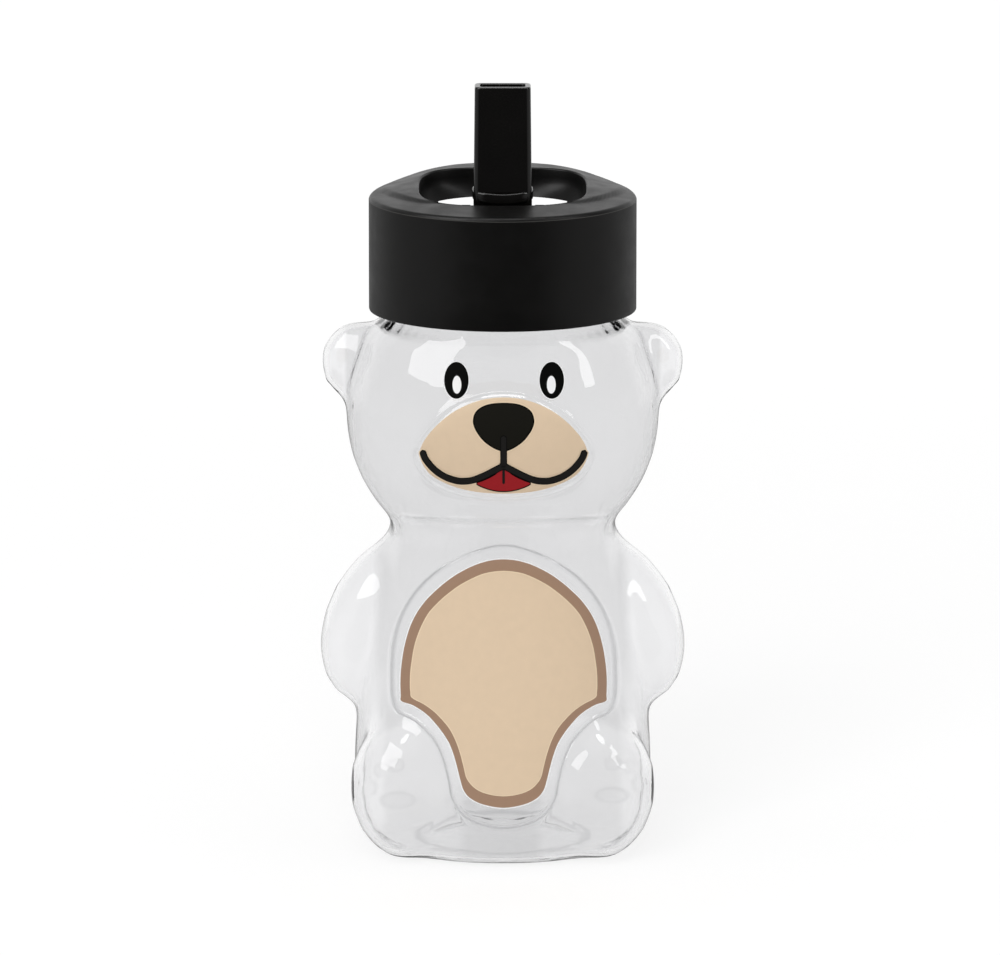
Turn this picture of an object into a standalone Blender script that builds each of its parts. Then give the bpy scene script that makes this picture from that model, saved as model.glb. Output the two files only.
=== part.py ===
"""Bear-shaped drinking bottle with a screw lid, carry hoop and flip-up spout.

Metres, +Z up. The origin is on the neck's axis, on the surface the bottle
stands on. The bear faces -Y and its left arm is at +X.
"""

import math

import bmesh
import bpy
from mathutils import Matrix, Vector

for existing in list(bpy.data.objects):
    bpy.data.objects.remove(existing, do_unlink=True)

MM = 0.001

# Fits shared by every piece
SEAT_GAP = 0.3 * MM
RUNNING_GAP = 0.4 * MM
PIVOT_GAP = 0.15 * MM

# Blow-moulded body
WALL = 1.2 * MM
BODY_DEPTH_RATIO = 0.90
BODY_SQUARENESS = 2.15
BODY_SIDES = 48

BASE_RADIUS = 27.2 * MM
BASE_CORNER = 12.0 * MM
PUSH_UP_RADIUS = 20.0 * MM
PUSH_UP_HEIGHT = 3.2 * MM

CREASE_HEIGHT = 87.6 * MM
CREASE_HALF_WIDTH = 29.0 * MM
TORSO_CURVE = 2.2

HEAD_HEIGHT = 52.6 * MM
HEAD_HALF_WIDTH = 41.0 * MM
HEAD_WIDEST_ABOVE_CREASE = 32.4 * MM
SHOULDER_HALF_WIDTH = 35.4 * MM
CHEEK_CURVE = 2.35

MUZZLE_HALF_WIDTH = 24.5 * MM
MUZZLE_HALF_HEIGHT = 15.0 * MM
MUZZLE_ABOVE_CREASE = 26.0 * MM
MUZZLE_RISE = 1.5 * MM

EAR_RADIUS = 10.8 * MM
EAR_HALF_THICKNESS = 7.0 * MM
EAR_CENTRE_X = 36.9 * MM
EAR_BELOW_SHOULDER = 10.7 * MM

ARM_HALF_LENGTH = 25.2 * MM
ARM_HALF_WIDTH = 17.2 * MM
ARM_HALF_DEPTH = 14.5 * MM
ARM_CENTRE_X = 28.6 * MM
ARM_BELOW_CREASE = 26.6 * MM
ARM_LEAN = math.radians(30)

FOOT_HALF_WIDTH = 15.5 * MM
FOOT_HALF_DEPTH = 17.0 * MM
FOOT_HALF_HEIGHT = 19.4 * MM
FOOT_CENTRE_X = 24.4 * MM
FOOT_CENTRE_Y = -20.4 * MM
FOOT_LIFT = 0.6 * MM

# Threaded neck
NECK_RADIUS = 30.1 * MM
NECK_WALL = 1.8 * MM
NECK_HEIGHT = 17.0 * MM
ROUND_SIDES = 56

THREAD_PITCH = 4.2 * MM
THREAD_TURNS = 1.15
THREAD_HEIGHT = 1.1 * MM
THREAD_ROOT_HALF = 1.0 * MM
THREAD_CREST_HALF = 0.45 * MM
THREAD_TOP_BELOW_LIP = 2.7 * MM
THREAD_GAP = 0.45 * MM
THREAD_DROP = 1.85 * MM
THREAD_STEPS_PER_TURN = 36

# Screw lid: textured shell outside, insert with the thread inside it
LID_ABOVE_SHOULDER = 3.2 * MM
LID_HEIGHT = 28.6 * MM
SHELL_WALL = 1.8 * MM
INSERT_WALL = 1.25 * MM
INSERT_INSET = 0.6 * MM
DECK_THICKNESS = 1.8 * MM

GASKET_THICKNESS = 1.6 * MM
GASKET_WIDTH = 4.2 * MM
PLUG_WALL = 1.5 * MM
PLUG_DEPTH = 3.0 * MM

CROWN_FRONT = 2.1 * MM
CROWN_BACK = 5.0 * MM
CROWN_LAG = 2.6
CROWN_UNDERSIDE = 3.1 * MM
HOOP_UNDERSIDE = 2.85 * MM
CROWN_SKIN = 1.9 * MM
RIM_WIDTH = 1.0 * MM
# Places on the slope as shares of the way from the recess to the rim, with their share of the rise
SLOPE_FOOT = (0.667, 0.55)
SLOPE_HEAD = (0.464, 0.90)
RECESS_HALF_WIDTH = 21.2 * MM
RECESS_FRONT_CLEARANCE = 2.2 * MM
RECESS_BACK_CLEARANCE = 4.4 * MM
LIP_WIDTH = 2.8 * MM
LIP_ROUND_WIDTH = 3.9 * MM
LIP_ROUND_DROP = 3.0 * MM
LIP_ROUND_EDGE = 0.6 * MM
HOOP_TRACE = 0.1 * MM
TUB_WALL = 1.6 * MM
TUB_INSET = 0.3 * MM
CHEEK_DROP = 0.2 * MM
WINDOW_IN_FROM_RECESS = 4.2 * MM

# Flip-up spout and its seat
SPOUT_LENGTH = 34.2 * MM
SPOUT_BASE_HALF_WIDTH = 7.8 * MM
SPOUT_TIP_HALF_WIDTH = 7.2 * MM
SPOUT_HALF_DEPTH = 4.1 * MM
SPOUT_CORNER = 1.7 * MM
SPOUT_TIP_ROUND = 0.5 * MM
SPOUT_WALL = 1.6 * MM
CHANNEL_FOOT = 1.5 * MM
CHANNEL_CORNER = 0.9 * MM
BARREL_RADIUS = 4.6 * MM
BARREL_PROUD = 0.05 * MM
COLLAR_HALF_WIDTH = 8.0 * MM
COLLAR_HALF_DEPTH = 4.7 * MM
COLLAR_BOTTOM = 4.9 * MM
COLLAR_HEIGHT = 1.9 * MM
COLLAR_CORNER = 2.6 * MM
COLLAR_EDGE = 0.45 * MM
PIVOT_FORWARD = 14.5 * MM
PIVOT_BELOW_RIM = 1.5 * MM
STUB_RADIUS = 1.6 * MM
STUB_LENGTH = 2.3 * MM
EAR_PLATE = 2.2 * MM
EAR_PLATE_HALF_DEPTH = 2.8 * MM
PEDESTAL_HALF_DEPTH = 4.9 * MM
PEDESTAL_STEP = 0.4 * MM
PORT_RADIUS = 2.3 * MM
SEAL_RADIUS = 4.0 * MM
SEAL_PROUD = 1.4 * MM
SEAL_RIM = 0.1 * MM
SEAL_SEAT_DEPTH = 2.4 * MM
NIPPLE_WALL = 1.1 * MM
NIPPLE_LENGTH = 8.0 * MM

# Air inlet valve in the deck
VENT_Y = 3.0 * MM
VENT_STEM_RADIUS = 1.1 * MM
VENT_BULB_RADIUS = 1.9 * MM
VENT_BULB_HEIGHT = 1.6 * MM
VENT_DISC_RADIUS = 4.2 * MM
VENT_DISC_THICKNESS = 0.9 * MM
VENT_DISC_EDGE = 0.3 * MM
VENT_PORT_RADIUS = 0.7 * MM
VENT_PORT_SPREAD = 2.6 * MM

# Heights that follow from the sizes above
head_widest = CREASE_HEIGHT + HEAD_WIDEST_ABOVE_CREASE
shoulder = CREASE_HEIGHT + HEAD_HEIGHT
lip = shoulder + NECK_HEIGHT
gasket_bottom = lip + SEAT_GAP
gasket_top = gasket_bottom + GASKET_THICKNESS
deck_bottom = gasket_top + SEAT_GAP
deck_top = deck_bottom + DECK_THICKNESS
lid_bottom = shoulder + LID_ABOVE_SHOULDER
lid_top = lid_bottom + LID_HEIGHT
pivot_height = lid_top - PIVOT_BELOW_RIM
pivot_y = -PIVOT_FORWARD
tip_height = pivot_height + SPOUT_LENGTH

# Radii of the neck, insert and shell, each from the one inside it
neck_bore = NECK_RADIUS - NECK_WALL
insert_bore = NECK_RADIUS + THREAD_HEIGHT + THREAD_GAP
insert_radius = insert_bore + INSERT_WALL
shell_bore = insert_radius + SEAT_GAP
lid_radius = shell_bore + SHELL_WALL

# The recess is as long as the folded spout needs
recess_front = pivot_y - BARREL_RADIUS - RECESS_FRONT_CLEARANCE
recess_back = pivot_y + SPOUT_LENGTH + RECESS_BACK_CLEARANCE
recess_centre = (recess_front + recess_back) / 2
recess_half_depth = (recess_back - recess_front) / 2

# The finger window is narrower than the recess, and the hollow crown ends beside it
window_half_width = RECESS_HALF_WIDTH - WINDOW_IN_FROM_RECESS
hoop_half_width = window_half_width + TUB_WALL

OVERLAP = 0.6 * MM
PAST = 3.0 * MM


def make_material(name, colour, roughness, metallic=0.0, alpha=1.0):
    material = bpy.data.materials.new(name)
    material.use_nodes = True
    shader = material.node_tree.nodes["Principled BSDF"]
    shader.inputs["Base Color"].default_value = (*colour, 1.0)
    shader.inputs["Roughness"].default_value = roughness
    shader.inputs["Metallic"].default_value = metallic
    shader.inputs["Alpha"].default_value = alpha
    return material


def make_object(name, bm, material=None, smooth=True):
    """A mesh object from a bmesh; without a material it is a guide for a Boolean."""
    bmesh.ops.recalc_face_normals(bm, faces=bm.faces)
    mesh = bpy.data.meshes.new(name)
    bm.to_mesh(mesh)
    bm.free()
    if smooth:
        mesh.shade_smooth()
        mesh.set_sharp_from_angle(angle=math.radians(35))
    made = bpy.data.objects.new(name, mesh)
    bpy.context.scene.collection.objects.link(made)
    if material is None:
        made.hide_render = True
        made.display_type = "WIRE"
    else:
        mesh.materials.append(material)
    return made


def combine(target, tool, operation):
    modifier = target.modifiers.new(f"{operation.lower()} {tool.name}", "BOOLEAN")
    modifier.operation = operation
    modifier.solver = "EXACT"
    modifier.object = tool


def join(target, tool):
    combine(target, tool, "UNION")


def cut(target, tool):
    combine(target, tool, "DIFFERENCE")


def skin(bm, rings, closed=False):
    """Quads between rings of equal count; an open run is capped at both ends."""
    rows = [[bm.verts.new(point) for point in ring] for ring in rings]
    count = len(rows[0])
    pairs = list(zip(rows, rows[1:]))
    if closed:
        pairs.append((rows[-1], rows[0]))
    for first, second in pairs:
        for i in range(count):
            j = (i + 1) % count
            bm.faces.new((first[i], first[j], second[j], second[i]))
    if not closed:
        bm.faces.new(list(reversed(rows[0])))
        bm.faces.new(rows[-1])


def round_ring(radius, height, sides=ROUND_SIDES, centre=(0.0, 0.0)):
    return [
        (
            centre[0] + radius * math.cos(math.tau * i / sides),
            centre[1] + radius * math.sin(math.tau * i / sides),
            height,
        )
        for i in range(sides)
    ]


def turned(name, outline, material=None, sides=ROUND_SIDES, centre=(0.0, 0.0)):
    """A solid of revolution whose outline of (radius, height) runs from cap to cap."""
    bm = bmesh.new()
    skin(bm, [round_ring(radius, height, sides, centre) for radius, height in outline])
    return make_object(name, bm, material)


def ring_solid(name, inner, outer, bottom, top, material=None, sides=ROUND_SIDES):
    """A plain ring of rectangular section."""
    section = [(inner, bottom), (outer, bottom), (outer, top), (inner, top)]
    bm = bmesh.new()
    rings = []
    for i in range(sides):
        angle = math.tau * i / sides
        rings.append([(r * math.cos(angle), r * math.sin(angle), z) for r, z in section])
    skin(bm, rings, closed=True)
    return make_object(name, bm, material)


def block(name, low, high, material=None):
    bm = bmesh.new()
    size = Vector(high) - Vector(low)
    centre = (Vector(high) + Vector(low)) / 2
    place = Matrix.Translation(centre) @ Matrix.Diagonal((*size, 1.0))
    bmesh.ops.create_cube(bm, size=1.0, matrix=place)
    return make_object(name, bm, material, smooth=False)


def rod_along_x(name, radius, half_length, centre, sides=32):
    bm = bmesh.new()
    place = Matrix.Translation(centre) @ Matrix.Rotation(math.pi / 2, 4, "Y")
    bmesh.ops.create_cone(
        bm,
        cap_ends=True,
        segments=sides,
        radius1=radius,
        radius2=radius,
        depth=2 * half_length,
        matrix=place,
    )
    return make_object(name, bm)


def lobe_pair(name, centre, half_sizes, lean=0.0, shrink=0.0, sides=18, rows=10):
    """Two mirrored ellipsoids, each leaning with its top towards the middle."""
    bm = bmesh.new()
    size = [half - shrink for half in half_sizes]
    for side in (-1, 1):
        place = (
            Matrix.Translation((side * centre[0], centre[1], centre[2]))
            @ Matrix.Rotation(-side * lean, 4, "Y")
            @ Matrix.Diagonal((*size, 1.0))
        )
        bmesh.ops.create_uvsphere(
            bm, u_segments=sides, v_segments=rows, radius=1.0, matrix=place
        )
    return make_object(name, bm)


def helix(name, start_height, root_radius, crest_radius):
    """A thread along THREAD_TURNS, faded in and out over its first and last steps."""
    steps = round(THREAD_TURNS * THREAD_STEPS_PER_TURN)
    direction = 1 if crest_radius > root_radius else -1
    flank = (THREAD_ROOT_HALF - THREAD_CREST_HALF) / THREAD_HEIGHT
    buried = root_radius - direction * OVERLAP
    buried_half = THREAD_ROOT_HALF + flank * OVERLAP
    fade_steps = 3
    bm = bmesh.new()
    rings = []
    for step in range(steps + 1):
        angle = math.tau * (step + 0.3) / THREAD_STEPS_PER_TURN
        height = start_height + THREAD_PITCH * step / THREAD_STEPS_PER_TURN
        fade = min(1.0, (step + 0.5) / fade_steps, (steps - step + 0.5) / fade_steps)
        crest = root_radius + (crest_radius - root_radius) * fade
        section = [
            (buried, -buried_half),
            (crest, -THREAD_CREST_HALF),
            (crest, THREAD_CREST_HALF),
            (buried, buried_half),
        ]
        rings.append(
            [(r * math.cos(angle), r * math.sin(angle), height + dz) for r, dz in section]
        )
    skin(bm, rings)
    return make_object(name, bm)


# Blow-moulded bear


def arc(centre, radius, start, end, steps):
    return [
        (
            centre[0] + radius * math.cos(start + (end - start) * i / steps),
            centre[1] + radius * math.sin(start + (end - start) * i / steps),
        )
        for i in range(steps + 1)
    ]


def torso_half_width(height):
    widest = BASE_RADIUS + BASE_CORNER
    share = (height - BASE_CORNER) / (CREASE_HEIGHT - BASE_CORNER)
    return CREASE_HALF_WIDTH + (widest - CREASE_HALF_WIDTH) * (1 - share**TORSO_CURVE)


def head_half_width(height):
    if height <= head_widest:
        share = (height - CREASE_HEIGHT) / HEAD_WIDEST_ABOVE_CREASE
        bulge = HEAD_HALF_WIDTH - CREASE_HALF_WIDTH
        return CREASE_HALF_WIDTH + bulge * (1 - max(0.0, 1 - share) ** CHEEK_CURVE)
    share = (height - head_widest) / (shoulder - head_widest)
    bulge = HEAD_HALF_WIDTH - SHOULDER_HALF_WIDTH
    return SHOULDER_HALF_WIDTH + bulge * math.sqrt(max(0.0, 1 - share**2))


def body_outline():
    """(half width, height) from the middle of the base to the edge of the shoulder."""
    points = []
    for share in (0.12, 0.5, 0.85):
        points.append((PUSH_UP_RADIUS * share, PUSH_UP_HEIGHT * (1 - share**3)))
    points.append((PUSH_UP_RADIUS, 0.0))
    points += arc((BASE_RADIUS, BASE_CORNER), BASE_CORNER, -math.pi / 2, 0, 5)
    for share in (0.17, 0.34, 0.5, 0.66, 0.8, 0.9, 1.0):
        height = BASE_CORNER + (CREASE_HEIGHT - BASE_CORNER) * share
        points.append((torso_half_width(height), height))
    for share in (0.09, 0.19, 0.31, 0.44, 0.6, 0.8, 1.0):
        height = CREASE_HEIGHT + HEAD_WIDEST_ABOVE_CREASE * share
        points.append((head_half_width(height), height))
    for angle in (20, 38, 55, 72, 90):
        height = head_widest + (shoulder - head_widest) * math.sin(math.radians(angle))
        points.append((head_half_width(height), height))
    return points


def inset_outline(points, distance):
    """The outline moved inwards by a wall thickness along its normals."""
    moved = []
    for i, point in enumerate(points):
        before = points[max(i - 1, 0)]
        after = points[min(i + 1, len(points) - 1)]
        along = Vector((after[0] - before[0], after[1] - before[1])).normalized()
        if i == len(points) - 1:
            along = Vector((-1.0, 1.0)).normalized()
        moved.append((point[0] - along.y * distance, point[1] + along.x * distance))
    return moved


def muzzle_swell(x, y, height):
    """How far the face stands forward at this point of the head's front."""
    if y > 0:
        return 0.0
    up = height - CREASE_HEIGHT - MUZZLE_ABOVE_CREASE
    reach = math.hypot(x / MUZZLE_HALF_WIDTH, up / MUZZLE_HALF_HEIGHT)
    share = min(1.0, max(0.0, (1.12 - reach) / 0.35))
    return MUZZLE_RISE * share * share * (3 - 2 * share)


def body_ring(half_width, height, inset=0.0):
    """One level of the body: an ellipse, a little squared, with the muzzle in front."""
    half_depth = (half_width + inset) * BODY_DEPTH_RATIO - inset
    power = 2 / BODY_SQUARENESS
    ring = []
    for i in range(BODY_SIDES):
        angle = math.tau * i / BODY_SIDES
        across, back = math.cos(angle), math.sin(angle)
        x = half_width * math.copysign(abs(across) ** power, across)
        y = half_depth * math.copysign(abs(back) ** power, back)
        ring.append((x, y - muzzle_swell(x, y, height), height))
    return ring


def bear_solid(name, shrink=0.0):
    """The bear's outside, or with shrink the space inside its wall."""
    outline = body_outline()
    if shrink:
        outline = inset_outline(outline, shrink)
    bm = bmesh.new()
    skin(bm, [body_ring(half_width, z, shrink) for half_width, z in outline])
    solid = make_object(name, bm)
    ears = lobe_pair(
        f"{name} ears",
        (EAR_CENTRE_X, 0.0, shoulder - EAR_BELOW_SHOULDER),
        (EAR_RADIUS, EAR_HALF_THICKNESS, EAR_RADIUS),
        shrink=shrink,
        sides=16,
        rows=10,
    )
    arms = lobe_pair(
        f"{name} arms",
        (ARM_CENTRE_X, 0.0, CREASE_HEIGHT - ARM_BELOW_CREASE),
        (ARM_HALF_WIDTH, ARM_HALF_DEPTH, ARM_HALF_LENGTH),
        lean=ARM_LEAN,
        shrink=shrink,
    )
    feet = lobe_pair(
        f"{name} feet",
        (FOOT_CENTRE_X, FOOT_CENTRE_Y, FOOT_HALF_HEIGHT + FOOT_LIFT),
        (FOOT_HALF_WIDTH, FOOT_HALF_DEPTH, FOOT_HALF_HEIGHT),
        shrink=shrink,
    )
    for lobe in (ears, arms, feet):
        join(solid, lobe)
    return solid


def make_bottle_body():
    material = make_material("clear plastic", (0.86, 0.87, 0.88), 0.08, alpha=0.35)
    body = bear_solid("bottle_body")
    body.hide_render = False
    body.display_type = "TEXTURED"
    body.data.materials.append(material)
    neck_foot = shoulder - 2 * OVERLAP
    neck = turned("neck", [(NECK_RADIUS, neck_foot), (NECK_RADIUS, lip)])
    join(body, neck)
    thread_foot = lip - THREAD_TOP_BELOW_LIP - THREAD_PITCH * THREAD_TURNS
    crest = NECK_RADIUS + THREAD_HEIGHT
    join(body, helix("neck thread", thread_foot, NECK_RADIUS, crest))
    inside = bear_solid("inside of the body", WALL)
    bore_foot = shoulder - WALL - 2 * OVERLAP
    join(inside, turned("neck bore", [(neck_bore, bore_foot), (neck_bore, lip + PAST)]))
    cut(body, inside)
    return body


# Lid shell


def crown_rise(angle):
    """Height of the crown above the lid's outer edge: low in front, high behind."""
    forward = (1 - math.sin(angle)) / 2
    return CROWN_FRONT + (CROWN_BACK - CROWN_FRONT) * (1 - forward**CROWN_LAG)


def crown_point(radius, height, angle):
    """A point of the lid's top: the rim is round and the recess is an oval."""
    outer = lid_radius - RIM_WIDTH
    share = (outer - radius) / (outer - RECESS_HALF_WIDTH)
    share = min(1.0, max(0.0, share))
    stretch = 1 + (recess_half_depth / RECESS_HALF_WIDTH - 1) * share
    x = radius * math.cos(angle)
    y = radius * stretch * math.sin(angle) + recess_centre * share
    return (x, y, height)


def slope_point(place, crown):
    across, up = place
    return (RECESS_HALF_WIDTH + (lid_radius - RECESS_HALF_WIDTH) * across, lid_top + crown * up)


def hollow_roof(angle, crown):
    """Under the crown: its underside is hollow but for the carry hoop over the window."""
    inner = RECESS_HALF_WIDTH + LIP_WIDTH
    under = lid_top - CROWN_UNDERSIDE
    roof = [
        (inner, lid_top + crown - LIP_ROUND_EDGE),
        slope_point(SLOPE_HEAD, crown),
        slope_point(SLOPE_FOOT, crown),
        (shell_bore, lid_top - SEAT_GAP),
    ]
    if math.sin(angle) > 0 and inner * abs(math.cos(angle)) < hoop_half_width:
        return [(radius, under + HOOP_TRACE) for radius, _ in roof]
    return [(radius, height - CROWN_SKIN) for radius, height in roof]


def shell_section(angle):
    crown = crown_rise(angle)
    inner = RECESS_HALF_WIDTH
    section = [
        (lid_radius, lid_bottom),
        (lid_radius, lid_top - RIM_WIDTH),
        (lid_radius - RIM_WIDTH * 0.3, lid_top - RIM_WIDTH * 0.3),
        (lid_radius - RIM_WIDTH, lid_top),
        slope_point(SLOPE_FOOT, crown),
        slope_point(SLOPE_HEAD, crown),
    ]
    for turn in (90, 60, 30, 0):
        across = LIP_ROUND_WIDTH * (1 - math.cos(math.radians(turn)))
        down = LIP_ROUND_DROP * (1 - math.sin(math.radians(turn)))
        section.append((inner + across, lid_top + crown - down))
    section += [
        (inner, lid_top - CROWN_UNDERSIDE),
        (inner + LIP_WIDTH, lid_top - CROWN_UNDERSIDE),
        *hollow_roof(angle, crown),
        (shell_bore, lid_bottom),
    ]
    return section


def make_lid_shell():
    material = make_material("satin black plastic", (0.012, 0.012, 0.013), 0.45)
    bm = bmesh.new()
    rings = []
    for i in range(ROUND_SIDES):
        angle = math.tau * i / ROUND_SIDES
        rings.append([crown_point(r, z, angle) for r, z in shell_section(angle)])
    skin(bm, rings, closed=True)
    shell = make_object("lid_shell", bm, material)
    window = block(
        "finger window",
        (-window_half_width, 0.0, deck_top),
        (window_half_width, lid_radius + PAST, lid_top - HOOP_UNDERSIDE),
    )
    cut(shell, window)
    return shell


# Lid insert


def tub_wall():
    """The wall round the recess, up to the lip of the crown."""
    inner = RECESS_HALF_WIDTH + TUB_INSET
    outer = inner + TUB_WALL
    bottom = deck_top - OVERLAP
    top = lid_top - CROWN_UNDERSIDE - SEAT_GAP
    section = [(inner, bottom), (outer, bottom), (outer, top), (inner, top)]
    bm = bmesh.new()
    rings = []
    for i in range(ROUND_SIDES):
        angle = math.tau * i / ROUND_SIDES
        rings.append([crown_point(r, z, angle) for r, z in section])
    skin(bm, rings, closed=True)
    tub = make_object("recess wall", bm)
    for side in (-1, 1):
        join(tub, window_cheek(side, top - CHEEK_DROP))
    way_out = block(
        "way out of the recess",
        (-window_half_width, 0.0, bottom - PAST),
        (window_half_width, lid_radius, top + PAST),
    )
    cut(tub, way_out)
    return tub


def window_cheek(side, top):
    """A wall beside the finger window, from the recess wall to the skirt."""
    inner = window_half_width - OVERLAP
    outer = hoop_half_width
    back = math.sqrt((insert_radius - SEAT_GAP) ** 2 - outer**2)
    half_open = recess_half_depth * math.sqrt(1 - (inner / RECESS_HALF_WIDTH) ** 2)
    front = recess_centre + half_open - TUB_WALL / 2
    low = (min(side * inner, side * outer), front, deck_top - OVERLAP / 2)
    high = (max(side * inner, side * outer), back, top)
    return block(f"window cheek {side}", low, high)


def make_lid_insert():
    material = make_material("gloss black plastic", (0.008, 0.008, 0.009), 0.12)
    foot = lid_bottom + INSERT_INSET
    insert = turned(
        "lid_insert",
        [(insert_radius, foot), (insert_radius, deck_top)],
        material,
    )
    cut(insert, turned("cap bore", [(insert_bore, foot - PAST), (insert_bore, deck_bottom)]))
    thread_foot = lip - THREAD_TOP_BELOW_LIP - THREAD_PITCH * THREAD_TURNS - THREAD_DROP
    crest = insert_bore - THREAD_HEIGHT
    join(insert, helix("lid thread", thread_foot, insert_bore, crest))

    plug_radius = gasket_inner() - SEAT_GAP
    plug = ring_solid(
        "neck plug",
        plug_radius - PLUG_WALL,
        plug_radius,
        deck_bottom - PLUG_DEPTH,
        deck_bottom + OVERLAP,
    )
    join(insert, plug)
    join(insert, tub_wall())

    ear_inner = COLLAR_HALF_WIDTH + RUNNING_GAP
    ear_outer = ear_inner + EAR_PLATE
    shelf = pivot_height - BARREL_RADIUS - SEAL_PROUD
    pedestal = block(
        "spout pedestal",
        (-ear_outer - PEDESTAL_STEP, pivot_y - PEDESTAL_HALF_DEPTH, deck_top - OVERLAP),
        (ear_outer + PEDESTAL_STEP, pivot_y + PEDESTAL_HALF_DEPTH, shelf),
    )
    join(insert, pedestal)
    for side in (-1, 1):
        join(insert, ear_plate(side, ear_inner, ear_outer, shelf - OVERLAP))
    bore = STUB_RADIUS + PIVOT_GAP
    pivot = (0.0, pivot_y, pivot_height)
    cut(insert, rod_along_x("stub bore", bore, ear_outer + PAST, pivot, sides=24))

    nipple_radius = PORT_RADIUS + NIPPLE_WALL
    centre = (0.0, pivot_y)
    nipple_foot = deck_bottom - NIPPLE_LENGTH
    nipple = [(nipple_radius, nipple_foot), (nipple_radius, deck_bottom + OVERLAP)]
    join(insert, turned("nipple", nipple, sides=24, centre=centre))
    port = [(PORT_RADIUS, nipple_foot - PAST), (PORT_RADIUS, shelf + PAST)]
    cut(insert, turned("drinking port", port, sides=24, centre=centre))
    seat = SEAL_RADIUS + SEAT_GAP
    counterbore = [(seat, shelf - SEAL_SEAT_DEPTH), (seat, shelf + PAST)]
    cut(insert, turned("seal seat", counterbore, sides=32, centre=centre))

    for offset, radius in (
        (0.0, VENT_STEM_RADIUS + SEAT_GAP),
        (-VENT_PORT_SPREAD, VENT_PORT_RADIUS),
        (VENT_PORT_SPREAD, VENT_PORT_RADIUS),
    ):
        hole = turned(
            f"vent hole {offset:.4f}",
            [(radius, deck_bottom - PAST), (radius, deck_top + PAST)],
            sides=16,
            centre=(offset, VENT_Y),
        )
        cut(insert, hole)
    return insert


def ear_plate(side, inner, outer, foot):
    """One of the two plates that carry the spout's stubs, round at the top."""
    round_radius = EAR_PLATE_HALF_DEPTH
    profile = [(-round_radius, foot), (round_radius, foot)]
    top = arc((0.0, pivot_height), round_radius, 0, math.pi, 10)
    profile += [(y, z) for y, z in top]
    bm = bmesh.new()
    rings = []
    for x in (side * inner, side * outer):
        rings.append([(x, pivot_y + y, z) for y, z in profile])
    skin(bm, rings)
    return make_object(f"ear plate {side}", bm)


# Seals


def gasket_inner():
    return NECK_RADIUS + THREAD_HEIGHT - GASKET_WIDTH


def make_lid_gasket():
    material = make_material("clear silicone", (0.72, 0.73, 0.74), 0.4)
    outer = NECK_RADIUS + THREAD_HEIGHT
    return ring_solid(
        "lid_gasket", gasket_inner(), outer, gasket_bottom, gasket_top, material, sides=48
    )


def make_spout_seal():
    material = make_material("grey silicone", (0.25, 0.25, 0.26), 0.5)
    shelf = pivot_height - BARREL_RADIUS - SEAL_PROUD
    foot = shelf - SEAL_SEAT_DEPTH + SEAT_GAP
    top = pivot_height - BARREL_RADIUS + SEAL_RIM
    centre = (0.0, pivot_y)
    seal = turned(
        "spout_seal", [(SEAL_RADIUS, foot), (SEAL_RADIUS, top)], material, 32, centre
    )
    bore = [(PORT_RADIUS, foot - PAST), (PORT_RADIUS, top + PAST)]
    cut(seal, turned("seal bore", bore, sides=24, centre=centre))
    pivot = (0.0, pivot_y, pivot_height)
    saddle = BARREL_RADIUS + SEAT_GAP
    cut(seal, rod_along_x("seal saddle", saddle, SEAL_RADIUS + PAST, pivot))
    return seal


def make_vent_valve():
    material = make_material("dark silicone", (0.04, 0.04, 0.045), 0.5)
    disc_top = deck_bottom - SEAT_GAP
    disc_bottom = disc_top - VENT_DISC_THICKNESS
    bulb_bottom = deck_top + SEAT_GAP
    outline = [
        (VENT_DISC_RADIUS * 0.55, disc_bottom),
        (VENT_DISC_RADIUS, disc_top - VENT_DISC_EDGE),
        (VENT_DISC_RADIUS, disc_top),
        (VENT_STEM_RADIUS, disc_top),
        (VENT_STEM_RADIUS, bulb_bottom),
        (VENT_BULB_RADIUS, bulb_bottom),
        (VENT_BULB_RADIUS * 0.9, bulb_bottom + VENT_BULB_HEIGHT * 0.6),
        (VENT_BULB_RADIUS * 0.45, bulb_bottom + VENT_BULB_HEIGHT),
    ]
    return turned("vent_valve", outline, material, sides=20, centre=(0.0, VENT_Y))


# Spout


def rounded_rectangle(half_x, half_y, corner, height, steps=4):
    ring = []
    for quarter, (sx, sy) in enumerate(((1, 1), (-1, 1), (-1, -1), (1, -1))):
        centre = (sx * (half_x - corner), sy * (half_y - corner))
        start = quarter * math.pi / 2
        for x, y in arc(centre, corner, start, start + math.pi / 2, steps):
            ring.append((x, pivot_y + y, height))
    return ring


def spout_half_width(height):
    share = (height - pivot_height) / SPOUT_LENGTH
    return SPOUT_BASE_HALF_WIDTH + (SPOUT_TIP_HALF_WIDTH - SPOUT_BASE_HALF_WIDTH) * share


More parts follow.
